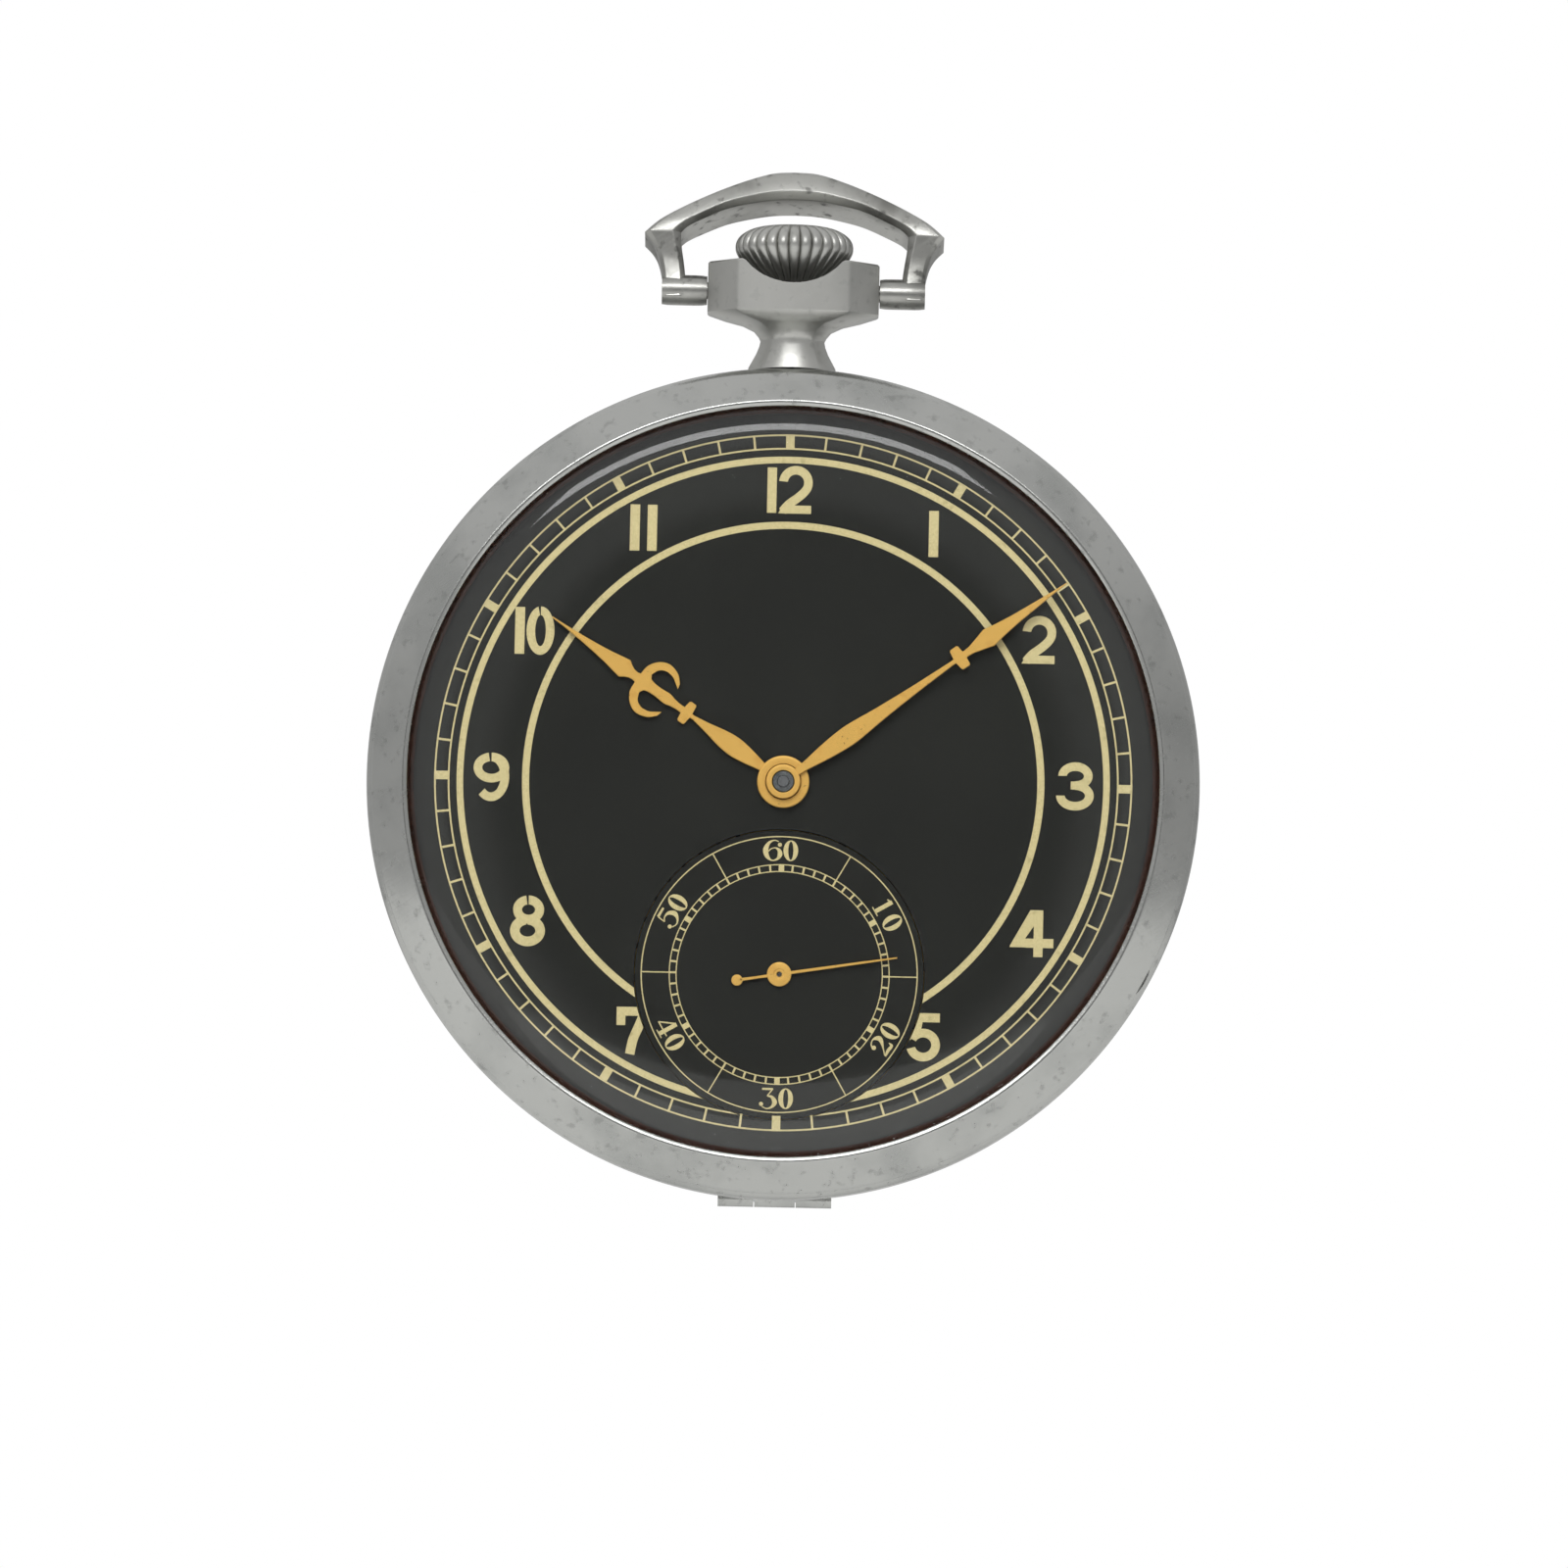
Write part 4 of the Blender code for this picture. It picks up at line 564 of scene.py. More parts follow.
def pale_floor(name):
    """Near-white studio board."""
    finish = Finish(name)
    grain = finish.noise(0.05)
    colour = finish.blend(grain, (196, 196, 195), (204, 204, 203))
    return finish.done(base_color=colour, roughness=0.7 + grain * 0.1)


class Finishes:
    """Every material of the watch, made the first time it is asked for."""

    recipes = {
        "case nickel": lambda n: worn_metal(n, (186, 187, 184), (150, 152, 150), 0.2, 0.25),
        "satin nickel": lambda n: worn_metal(n, (190, 190, 186), (160, 161, 158), 0.36, 0.0, 0.7),
        "rough nickel": lambda n: worn_metal(n, (176, 176, 172), (120, 120, 116), 0.3, 0.0, 2.0),
        "dark seam": lambda n: turned_metal(n, (70, 44, 36), (40, 26, 22), 0.5),
        "dial lacquer": enamel,
        "dial paint": print_paint,
        "hand gold": gold,
        "bridge gilt": striped_gilt,
        "wheel brass": lambda n: turned_metal(n, (222, 184, 104), (176, 134, 66), 0.26),
        "bright steel": lambda n: turned_metal(n, (196, 198, 202), (150, 152, 156), 0.2),
        "blued steel": lambda n: turned_metal(n, (52, 70, 150), (34, 40, 96), 0.18),
        "spring steel": lambda n: turned_metal(n, (120, 126, 140), (84, 88, 100), 0.24),
        "ruby": ruby,
        "crystal glass": glass,
        "pale floor": pale_floor,
    }

    def __init__(self):
        self.made = {}

    def __getitem__(self, name):
        if name not in self.made:
            self.made[name] = self.recipes[name](name)
        return self.made[name]


WHITE = (1.0, 1.0, 1.0, 1.0)
finishes = Finishes()


# ---- repeated shapes -----------------------------------------------------------------------
def ring_tree(name):
    """A node tree that repeats a shape about an axis of the watch and merges the copies."""
    tree = bpy.data.node_groups.new(name, "GeometryNodeTree")
    for label, kind in (("Shape", "Geometry"), ("Copies", "Int"), ("Axis", "Vector"),
                        ("Step", "Float"), ("Merge", "Float"), ("Material", "Material")):
        tree.interface.new_socket(label, in_out="INPUT", socket_type="NodeSocket" + kind)
    tree.interface.new_socket("Ring", in_out="OUTPUT", socket_type="NodeSocketGeometry")

    nodes = Nodes(tree)
    given = {s.name: Signal(tree, s) for s in tree.nodes.new("NodeGroupInput").outputs if s.name}
    line = nodes.node("GeometryNodeMeshLine", {"Count": given["Copies"], "Offset": (0.0, 0.0, 0.0)})
    index = nodes.node("GeometryNodeInputIndex")
    turn = nodes.node("FunctionNodeAxisAngleToRotation",
                      {"Axis": given["Axis"], "Angle": index * given["Step"]})
    copies = nodes.node("GeometryNodeInstanceOnPoints",
                        {"Points": line, "Instance": given["Shape"], "Rotation": turn})
    real = nodes.node("GeometryNodeRealizeInstances", {0: copies})
    merged = nodes.node("GeometryNodeMergeByDistance", {"Geometry": real, "Distance": given["Merge"]})
    painted = nodes.node("GeometryNodeSetMaterial",
                         {"Geometry": merged, "Material": given["Material"]})
    nodes.node("NodeGroupOutput", {"Ring": painted})
    return tree


def repeated(mesh, copies, material, axis=(0, 1, 0), merge=1e-7):
    """One shape repeated evenly about an axis through the origin, as a plain mesh."""
    tree = bpy.data.node_groups.get("Ring of Copies") or ring_tree("Ring of Copies")
    holder = in_scene("holder", to_data(mesh))
    modifier = holder.modifiers.new("Ring", "NODES")
    modifier.node_group = tree
    values = {"Copies": copies, "Axis": axis, "Step": 2 * pi / copies, "Merge": merge,
              "Material": material}
    for item in tree.interface.items_tree:
        if item.in_out == "INPUT" and item.name in values:
            modifier[item.identifier] = values[item.name]
    return outward(evaluated(holder))


# ---- case ----------------------------------------------------------------------------------
def along_hinge(x_from, x_to, radius):
    """A rod on the axis of the back's hinge."""
    return loft([[(x, -HINGE_H + a, HINGE_Z + b) for a, b in around(32, radius)]
                 for x in sorted((x_from, x_to))])


def case_ring():
    """The middle of the case: seats for back, bezel and dial, and the outer hinge knuckles."""
    inside, back_seat = BACK_R - 1.45, BACK_R - 0.95
    back_step, band_low = EDGE_H - 0.3, EDGE_H + 0.15
    snap_r, snap_h = BEZEL_R - 0.9, BAND_TOP_H + 0.55
    dial_seat, dial_ledge, ledge_r = DIAL_R + 0.15, DIAL_H - 0.5, DIAL_R - 0.7
    plate_r, plate_top, plate_low, inside_h = DIAL_R - 1.6, 4.5, 3.9, 3.7
    profile = [
        (inside, back_step), (back_seat, back_step, 0.05), (back_seat, band_low, 0.02),
        (BACK_R, band_low, 0.1), (CASE_R, band_low + 0.6, 0.5), (CASE_R, BAND_TOP_H - 0.55, 0.5),
        (BEZEL_R, BAND_TOP_H, 0.1), (snap_r, BAND_TOP_H), (snap_r, snap_h), (dial_seat, snap_h),
        (dial_seat, dial_ledge), (ledge_r, dial_ledge), (ledge_r, plate_top), (plate_r, plate_top),
        (plate_r, plate_low), (inside, inside_h),
    ]
    body = lathe(rounded(profile, 0.04, 5), FINE_SIDES, loop=True)
    lugs = [along_hinge(side * HINGE_HALF, side * (KNUCKLE_HALF + FIT), HINGE_R) for side in (-1, 1)]
    cuts = [along_hinge(-KNUCKLE_HALF - FIT, KNUCKLE_HALF + FIT, HINGE_R + 0.1),
            along_hinge(*PIN_HOLE), upright_lathe([(STEM_BORE_R, 19), (STEM_BORE_R, 27)], 32)]
    return carved(body, cuts, lugs)


def back_shell():
    """The domed back with the middle knuckle of its hinge."""
    flat_r, rim_r, wall, steps = 12.0, BACK_R - 0.85, 0.45, 24
    outer, inner = [(0.02, 0.0)], []
    for i in range(steps + 1):
        turn = radians(90) * i / steps
        lift = 1 - cos(turn)
        outer.append((flat_r + (BACK_R - flat_r) * sin(turn), EDGE_H * lift))
        inner.append((flat_r + (rim_r - flat_r) * sin(turn), wall + (EDGE_H - 2 * wall) * lift))
    profile = [*outer, (BACK_R - 0.06, EDGE_H), (rim_r, EDGE_H), *inner[::-1], (0.02, wall)]
    cuts = [along_hinge(*PIN_HOLE)]
    for side in (-1, 1):
        cuts.append(along_hinge(side * (HINGE_HALF + FIT), side * KNUCKLE_HALF, HINGE_R + 0.1))
    knuckle = along_hinge(-KNUCKLE_HALF, KNUCKLE_HALF, HINGE_R)
    return carved(lathe(profile, FINE_SIDES), cuts, [knuckle])


def bezel_ring():
    """The sloping bezel with a groove for the crystal and a thumb lip at four o'clock."""
    groove, groove_r, snap_r = BEZEL_LIP_H - 0.4, APERTURE_R + 0.5, BEZEL_R - 0.77
    profile = [
        (BEZEL_R, BEZEL_LOW_H, 0.04), (BEZEL_R, 7.4, 0.14),
        (APERTURE_R + 0.3, BEZEL_LIP_H - 0.02, 0.2), (APERTURE_R, BEZEL_LIP_H - 0.12, 0.08),
        (APERTURE_R, groove, 0.02), (groove_r, groove, 0.02), (groove_r, groove - 0.6, 0.02),
        (snap_r, groove - 0.7, 0.02), (snap_r, BEZEL_LOW_H, 0.02),
    ]
    ring = lathe(rounded(profile, 0.05, 6), FINE_SIDES, loop=True)
    lip_angle, lip_steps = radians(118), 6
    lip = []
    for h, reach, half in ((7.12, 0.0, 0.95), (7.2, 0.13, 0.9), (7.3, 0.16, 0.85), (7.38, 0.1, 0.8)):
        row = []
        for i in range(-lip_steps, lip_steps + 1):
            t = i / lip_steps
            a = lip_angle + t * half / BEZEL_R
            r = BEZEL_R + reach * (1 - t * t) - 0.02
            row.append((r * sin(a), -h, r * cos(a)))
        lip.append(row + [(0.99 * x, y, 0.99 * z) for x, y, z in row[::-1]])
    return carved(ring, [], [loft(lip)])


def crystal_glass():
    """The domed crystal with its turned-down edge."""
    edge, low, top = APERTURE_R + 0.4, BEZEL_LIP_H - 0.85, CRYSTAL_H - 0.02
    shoulder, steps = 2.6, 14
    over = [(edge, low), (edge, low + 0.35), (edge - 0.45, low + 0.4)]
    for i in range(steps + 1):
        turn = radians(90) * i / steps
        r = APERTURE_R - 0.12 - shoulder * (1 - cos(turn))
        over.append((r, low + 0.55 + (top - low - 0.75) * sin(turn)))
    over += [(APERTURE_R * 0.7, top - 0.12), (APERTURE_R * 0.4, top - 0.03), (0.05, top)]
    under = [(0.05, top - 0.9), (APERTURE_R * 0.7, top - 0.98), (APERTURE_R - shoulder, top - 1.1),
             (APERTURE_R - 1.0, low + 0.05), (edge - 0.6, low)]
    return lathe(over + under)


# ---- pendant, bow and crown ----------------------------------------------------------------
def across_pivot(x_from, x_to, radius, sides=40, swell=0.0):
    """A pin on the bow's axis, thinner towards its ends by swell."""
    low, high = sorted((x_from, x_to))
    spans = 8
    rings = []
    for i in range(spans + 1):
        t = i / spans
        r = radius - swell * abs(2 * t - 1) ** 6
        rings.append([(low + t * (high - low), a - STEM_H, b + PIVOT_Z) for a, b in around(sides, r)])
    return loft(rings)


def pendant_section(half_x, half_y, z, facet):
    """One level of the pendant, from an ellipse at facet 0 to a chamfered block at facet 1."""
    corners = [(1, 0), (1, 0.3, 0.03), (0.66, 0.9, 0.03), (0.5, 0.945)]
    bowed = [(0.33, 0.975), (0.17, 0.994), (0, 1)]
    quarter = rounded(corners, 0.0, 3)[1:] + bowed
    half = quarter + [(-x, y) for x, y in quarter[-2::-1]]
    ring = half + [(x, -y) for x, y in half[::-1]]
    points = []
    for x, y in ring:
        angle = atan2(y, x)
        x = facet * x + (1 - facet) * cos(angle)
        y = facet * y + (1 - facet) * sin(angle)
        points.append((x * half_x, y * half_y - STEM_H, z))
    return points


def pendant_body():
    """A round foot, a waist and a chamfered block, scooped out under the crown."""
    top = PIVOT_Z + 1.7
    foot = CASE_R
    # half width, half depth, z, and facet from round at 0 to square at 1
    rows = [(2.7, 2.2, foot - 1.2, 0), (2.7, 2.2, foot - 0.1, 0), (2.66, 2.18, foot + 0.12, 0),
            (2.45, 2.06, foot + 0.5, 0), (2.2, 2.0, foot + 0.95, 0), (2.02, 1.95, foot + 1.4, 0),
            (1.95, 1.93, PIVOT_Z - 2.95, 0), (2.06, 2.0, PIVOT_Z - 2.7, 0.1),
            (2.33, 2.2, PIVOT_Z - 2.36, 0.3), (3.0, 2.6, PIVOT_Z - 2.02, 0.6),
            (4.0, 3.0, PIVOT_Z - 1.75, 0.9), (BLOCK_X - 0.1, 3.26, PIVOT_Z - 1.42, 1),
            (BLOCK_X, 3.3, PIVOT_Z - 1.34, 1), (BLOCK_X, 3.3, top - 0.16, 1),
            (BLOCK_X - 0.1, 3.25, top - 0.06, 1), (0.9 * BLOCK_X, 3.15, top, 1)]
    body = loft([pendant_section(*row) for row in rows])
    scoop, scoop_r, steps = [], 4.6, 24
    for i in range(steps + 1):
        tilt = radians(-90 + 160 * i / steps)
        scoop.append((max(scoop_r * cos(tilt), 0.02), PIVOT_Z + 3.45 + scoop_r * sin(tilt)))
    cuts = [lathe([(CASE_R + FIT, 0), (CASE_R + FIT, 9)], 128),
            upright_lathe(scoop, 64), upright_lathe([(STEM_BORE_R, 20), (STEM_BORE_R, 33)], 24)]
    for side in (-1, 1):
        cuts.append(across_pivot(side * (BLOCK_X - 1.45), side * 9, 0.56))
    return carved(body, cuts)


BOW_TIP = radians(-17)
BOW_LEG = [
    # outer (x, rise), inner (x, rise) and half depth, in millimetres from the pivot axis
    (7.72, -0.62, 6.42, -0.62, 0.75), (7.76, 0.6, 6.42, 0.6, 0.85), (8.0, 1.8, 6.52, 1.5, 1.0),
    (8.35, 2.6, 6.66, 2.4, 1.25), (8.86, 3.25, 6.72, 3.25, 1.5),
]
BOW_TOP = [
    BOW_LEG[-1], (7.9, 4.1, 6.3, 3.65, 1.6), (6.3, 5.05, 5.4, 4.15, 1.65),
    (4.4, 5.98, 4.0, 4.8, 1.7), (2.65, 6.7, 2.4, 5.22, 1.7), (1.25, 7.12, 1.15, 5.42, 1.7),
    (0.0, 7.2, 0.0, 5.47, 1.7),
]


def bow_section(station, side):
    """A face leaning outwards with bevels above and below, and a flatter back."""
    out_x, out_rise, in_x, in_rise, depth = station
    wide = hypot(out_x - in_x, out_rise - in_rise)
    corners = [(0.0, -0.7 * depth, 0.05), (0.22 * wide, -0.97 * depth, 0.06),
               (0.86 * wide, -0.9 * depth, 0.06), (wide, -0.74 * depth, 0.07),
               (wide, 0.8 * depth, 0.08), (0.3 * wide, 0.97 * depth, 0.08), (0.0, 0.72 * depth, 0.05)]
    points = []
    for u, y in rounded(corners, 0.05, 3):
        share = u / wide
        x = in_x + share * (out_x - in_x)
        points.append((side * x, y - STEM_H, in_rise + share * (out_rise - in_rise) + PIVOT_Z))
    return points


def bow_body():
    """The bow, tipped a little towards the reader about its two pins."""
    stations = curve_through(BOW_LEG, 5)[:-1] + curve_through(BOW_TOP, 6)
    rings = [bow_section(s, -1) for s in stations] + [bow_section(s, 1) for s in stations[-2::-1]]
    pins = []
    for side in (-1, 1):
        pins.append(across_pivot(side * 7.78, side * (BLOCK_X + FIT), 0.9, 48, 0.05))
        pins.append(across_pivot(side * 6.0, side * (BLOCK_X - 1.3), 0.5))
    pivot = Matrix.Translation((0.0, -STEM_H * MM, PIVOT_Z * MM))
    return moved(carved(loft(rings), [], pins),
                 pivot @ Matrix.Rotation(BOW_TIP, 4, "X") @ pivot.inverted())


def crown_flute(count):
    """One ridge of the crown with half a groove on each side, from its foot to its top."""
    # radius, height over the crown's foot, and share of the full groove depth
    outline = [(0.0, 0.0, 0), (0.9, 0.0, 0), (1.4, 0.08, 0), (1.62, 0.22, 0.25), (1.9, 0.55, 0.9),
               (2.55, 1.08, 1), (3.15, 1.68, 1), (3.42, 2.1, 1), (CROWN_R, 2.4, 1), (3.45, 2.75, 1),
               (3.25, 3.08, 1), (2.9, 3.36, 1), (2.45, 3.56, 0.8), (2.05, 3.66, 0.3), (1.7, 3.7, 0),
               (0.8, 3.745, 0), (0.0, 3.75, 0)]
    groove, samples = 0.32, 12
    mesh = bmesh.new()
    rows = []
    for r, z, share in curve_through(outline, 3):
        row = []
        for k in range(samples + 1):
            t = 2 * k / samples - 1
            ridge = sqrt(max(0.0, 1 - abs(t) ** 2.2))
            depth = groove * min(max(share, 0), 1) * (1 - ridge) * min(r / 2.6, 1)
            radius = (max(r, 0.0) - depth) * MM
            a = t * pi / count
            row.append(mesh.verts.new((radius * sin(a), radius * cos(a), (CROWN_LOW_Z + z) * MM)))
        rows.append(row)
    for a, b in zip(rows, rows[1:]):
        for k in range(samples):
            mesh.faces.new((a[k], a[k + 1], b[k + 1], b[k]))
    bmesh.ops.remove_doubles(mesh, verts=mesh.verts, dist=1e-8)
    return mesh


# ---- dial ----------------------------------------------------------------------------------
TILE = 102.2  # numeral units in a millimetre
DIGIT = 181.0  # seconds digit units in a millimetre
NUMERAL_R = 17.1
SECONDS_NUMERAL_R = 7.28
# radius and width of each painted circle
DIAL_RINGS = ((15.13, 0.42), (18.99, 0.39), (19.65, 0.1), (20.45, 0.1))
SECONDS_RINGS = ((8.1, 0.07), (6.45, 0.06), (6.05, 0.06))
# inner and outer radius and width of the ticks
MINUTE_TICK = (19.62, 20.48, 0.13)
HOUR_BLOCK = (19.6, 20.5, 0.5)
SECOND_TICK = (6.03, 6.47, 0.115)
TEN_TICK = (6.02, 6.48, 0.32)
SPOKE = (6.45, 8.1, 0.07)


def quad(*values):
    return list(zip(values[::2], values[1::2]))


def block(x_from, y_from, x_to, y_to):
    return [(x_from, y_from), (x_to, y_from), (x_to, y_to), (x_from, y_to)]


def oval(x, y, rx, ry, start=0, end=360, steps=36):
    """Points of an ellipse; angles in degrees clockwise from twelve."""
    points = []
    for i in range(steps + (end - start != 360)):
        t = radians(start + (end - start) * i / steps)
        points.append((x + rx * sin(t), y - ry * cos(t)))
    return points


def band(x, y, rx, ry, width, start, end):
    """A stretch of an elliptical stroke as a chain of quads."""
    outer = oval(x, y, rx + width / 2, ry + width / 2, start, end)
    inner = oval(x, y, rx - width / 2, ry - width / 2, start, end)
    return [[a, b, d, c] for a, b, c, d in zip(outer, outer[1:], inner, inner[1:])]


def ribbon(points, width, steps=6):
    return pen([(x, y, width) for x, y in points], steps)


def numeral(hour):
    """The shapes of one hour numeral, with y downwards, in tile units about (200, 200)."""
    stroke = 52
    one = [block(170, 62, 228, 340)]
    two = band(206, 143, 75, 75, stroke, -85, 90)
    two += ribbon([(281, 140), (276, 172), (252, 205), (212, 240), (165, 275), (128, 318)], stroke)
    two += [quad(102, 330, 300, 330, 300, 281, 130, 281)]
    shapes = {
        1: one,
        2: two,
        3: band(205, 127, 77, 57, stroke, -90, 180) + [block(178, 160, 232, 208)]
        + band(204, 246, 87, 62, stroke, 0, 270),
        4: [quad(185, 64, 207, 64, 207, 160, 158, 232, 158, 288, 65, 288, 65, 280),
            block(207, 64, 262, 345), block(158, 235, 326, 290)],
        5: [block(148, 56, 294, 110), quad(148, 60, 200, 60, 180, 175, 112, 222)]
        + band(197, 247, 75, 72, stroke, -62, 255),
        7: [block(105, 55, 297, 108), block(105, 55, 158, 165)]
        + ribbon([(268, 82), (262, 110), (238, 172), (206, 250), (188, 338)], 56),
        8: band(203, 124, 66, 58, 54, 0, 360) + band(199, 250, 76, 65, 58, 0, 360),
        9: band(195, 205, 82, 120, stroke, 0, 222) + band(195, 149, 81, 64, stroke, 0, 360),
        10: [block(84, 53, 142, 335)] + band(237, 193, 58, 120, 52, 0, 360),
        11: [block(122, 60, 180, 338), block(226, 60, 284, 338)],
        12: [block(68, 54, 124, 328)] + [[(x + 33, y) for x, y in s] for s in two],
    }
    return shapes[hour]


def dial_plate():
    """The dial with the hole of the seconds dial and the hole for the hands."""
    holes = [disc(SUBDIAL_AT, SUBDIAL_R + 0.03, 128), disc((0, 0), 1.15, 48)]
    return slab(united([disc((0, 0), DIAL_R, 192)], holes), rear("dial"), DIAL_H)


def dial_shapes():
    """The circles and the hour numerals; the seconds dial takes the place of the six."""
    shapes = [shape for ring in DIAL_RINGS for shape in ring_shapes(*ring)]
    for hour in (1, 2, 3, 4, 5, 7, 8, 9, 10, 11, 12):
        angle = radians(30 * hour)
        x, z = NUMERAL_R * sin(angle), NUMERAL_R * cos(angle)
        for shape in numeral(hour):
            shapes.append([(x + (u - 200) / TILE, z - (v - 200) / TILE) for u, v in shape])
    return shapes


def mark(r_in, r_out, width, low, high):
    """A single tick at twelve, as a thin box."""
    half = width / 2
    return slab(united([block(-half, r_in, half, r_out)]), low, high)


# Seconds digits with y downwards: pen strokes as (x, y, width) points, blocks, and a ball (x, y, r).
STROKES = {
    2: ([(-60, -70, 14), (-30, -100, 14), (20, -108, 16), (60, -70, 50), (55, -30, 45), (0, 30, 14),
         (-60, 85, 12)], [(-65, 97, 16), (0, 90, 34), (65, 95, 30), (75, 55, 10)]),
    3: ([(-60, -100, 22), (55, -100, 22)], [(55, -104, 14), (-5, -25, 12)],
        [(-5, -25, 12), (45, -15, 30), (75, 40, 52), (45, 90, 25), (-10, 108, 13), (-60, 85, 12)]),
    5: ([(-45, -100, 30), (65, -102, 22)], [(-45, -100, 14), (-55, -15, 12)],
        [(-55, -15, 12), (-10, -40, 14), (45, -25, 35), (75, 30, 52), (45, 85, 25), (-10, 108, 13),
         (-60, 85, 12)]),
    6: ([(60, -95, 12), (15, -108, 12), (-40, -80, 30), (-75, -10, 55), (-60, 60, 45),
         (-10, 105, 14), (50, 90, 25), (78, 40, 50), (65, -5, 35), (25, -28, 12), (-20, -15, 12),
         (-45, 10, 12)],),
}
BLOCKS = {
    1: (block(-22, -105, 23, 105), block(-55, 98, 55, 110),
        quad(-50, -80, -44, -66, 4, -92, 0, -106)),
    4: (block(12, -108, 57, 105), block(-15, 98, 85, 110),
        block(-85, 38, 95, 52), quad(18, -108, 30, -98, -76, 50, -88, 44)),
}
BALLS = {2: (-50, -55, 24), 3: (-68, 60, 22), 5: (-70, 60, 22), 6: (75, -62, 22)}


def digit(value):
    """The shapes of one digit of the seconds ring."""
    if value == 0:
        pairs = list(zip(oval(0, 0, 78, 110), oval(0, 0, 27, 98)))
        return [[a, c, d, b] for (a, b), (c, d) in zip(pairs, pairs[1:] + pairs[:1])]
    shapes = list(BLOCKS.get(value, ()))
    for stroke in STROKES.get(value, ()):
        shapes += pen(stroke, 1 if len(stroke) == 2 else 6)
    if value in BALLS:
        x, y, r = BALLS[value]
        shapes.append(oval(x, y, r, r, steps=16))
    return shapes


def seconds_shapes():
    """The circles and numerals of the seconds dial, in groups; no numeral is upside down."""
    groups = [ring_shapes(r, width, 120, SUBDIAL_AT) for r, width in SECONDS_RINGS]
    for tens in range(1, 7):
        turn = radians(60 * tens)
        out = Vector((sin(turn), cos(turn)))
        up = out if tens in (5, 6, 1) else -out
        side = Vector((up.y, -up.x))
        at = Vector(SUBDIAL_AT) + out * SECONDS_NUMERAL_R
        for place, value in ((-0.53, tens % 10), (0.53, 0)):
            shapes = []
            for shape in digit(value):
                spots = [at + side * (place + u / DIGIT) - up * (v / DIGIT) for u, v in shape]
                shapes.append([(p.x, p.y) for p in spots])
            groups.append(shapes)
    return groups


# ---- hands and jewels ----------------------------------------------------------------------
HOUR_HAND_ANGLE = 304.4  # degrees clockwise from twelve
MINUTE_HAND_ANGLE = 53.8
SECOND_HAND_ANGLE = 80.9


def hand_point(u, w, h, heading, place):
    return (place[0] + u * cos(heading) - w * sin(heading), -h,
            place[1] + u * sin(heading) + w * cos(heading))


def blade(half, low, high, heading, place=(0, 0), cut=0.035):
    """A hand from half of its outline as (along, across), with its upper edge broken."""
    whole = half + [(u, -w) for u, w in half[::-1] if w > 1e-6]
    levels = []
    for h, inset in ((low, 0.0), (high - cut, 0.0), (high, cut)):
        ring = []
        for u, w in whole:
            size = max(abs(w) - inset, 0.55 * abs(w))
            ring.append(hand_point(u, size if w > 0 else -size, h, heading, place))
        levels.append(ring)
    return flat_ended(levels)


def flat_ended(levels):
    """A solid between outlines that may be hollow in places, with flat ends."""
    mesh, rows = skin(levels)
    for row in (rows[0], rows[-1]):
        for corners in geometry.tessellate_polygon([[v.co / MM for v in row]]):
            mesh.faces.new([row[i] for i in corners])
    return outward(mesh)


def collar(outer, inner, low, high, crown):
    profile = [(inner, low), (outer, low, 0.02), (outer, high, crown), (inner, high, 0.03)]
    return lathe(rounded(profile, 0.01, 4), 72, loop=True)


def smooth_half(*points):
    return [(p.x, max(p.y, 0.0)) for p in curve_through(points, 5)]


def hour_hand():
    low, high = rear("hour_hand"), front("hour_hand")
    leaf = smooth_half((1.2, 0.2), (1.64, 0.28), (2.6, 0.47), (3.5, 0.575), (4.4, 0.5), (5.5, 0.28),
                       (6.5, 0.12))
    bar = [(6.66, 0.14), (6.72, 0.62), (6.78, 0.69), (7.12, 0.69), (7.2, 0.62), (7.26, 0.2)]
    stem = smooth_half((7.6, 0.2), (8.0, 0.25), (8.4, 0.34), (9.0, 0.3), (9.5, 0.32), (9.8, 0.4))
    inner = smooth_half((9.95, 0.65), (9.75, 1.1), (9.35, 1.32), (8.85, 1.27), (8.5, 1.06),
                        (8.2, 0.86))
    outer = smooth_half((8.28, 1.16), (8.7, 1.56), (9.4, 1.74), (10.0, 1.5), (10.42, 0.95),
                        (10.5, 0.3))
    arrow = [(10.7, 0.26), (10.95, 0.3), (11.2, 0.42), (11.45, 0.6), (12.0, 0.5), (12.6, 0.39),
             (13.4, 0.28), (14.5, 0.17), (15.6, 0.09), (16.68, 0.03)]
    flat = blade(leaf + bar + stem + inner + outer + arrow, low, high, radians(90 - HOUR_HAND_ANGLE))
    return joined([flat, collar(1.54, 1.05, low - 0.02, high + 0.1, 0.12)])


def minute_hand():
    low, high = rear("minute_hand"), front("minute_hand")
    leaf = smooth_half((0.8, 0.2), (1.6, 0.26), (3.0, 0.46), (4.3, 0.575), (5.2, 0.565), (7.0, 0.4),
                       (9.5, 0.24), (12.1, 0.13))
    bar = [(12.3, 0.14), (12.38, 0.62), (12.45, 0.69), (12.88, 0.69), (12.95, 0.62), (13.0, 0.22)]
    arrow = [(13.1, 0.2), (13.5, 0.24), (14.1, 0.4), (14.73, 0.575), (15.5, 0.44), (16.6, 0.3),
             (18.2, 0.17), (19.4, 0.08), (20.33, 0.03)]
    flat = blade(leaf + bar + arrow, low, high, radians(90 - MINUTE_HAND_ANGLE))
    return joined([flat, collar(1.01, 0.66, low - 0.02, high + 0.06, 0.1)])


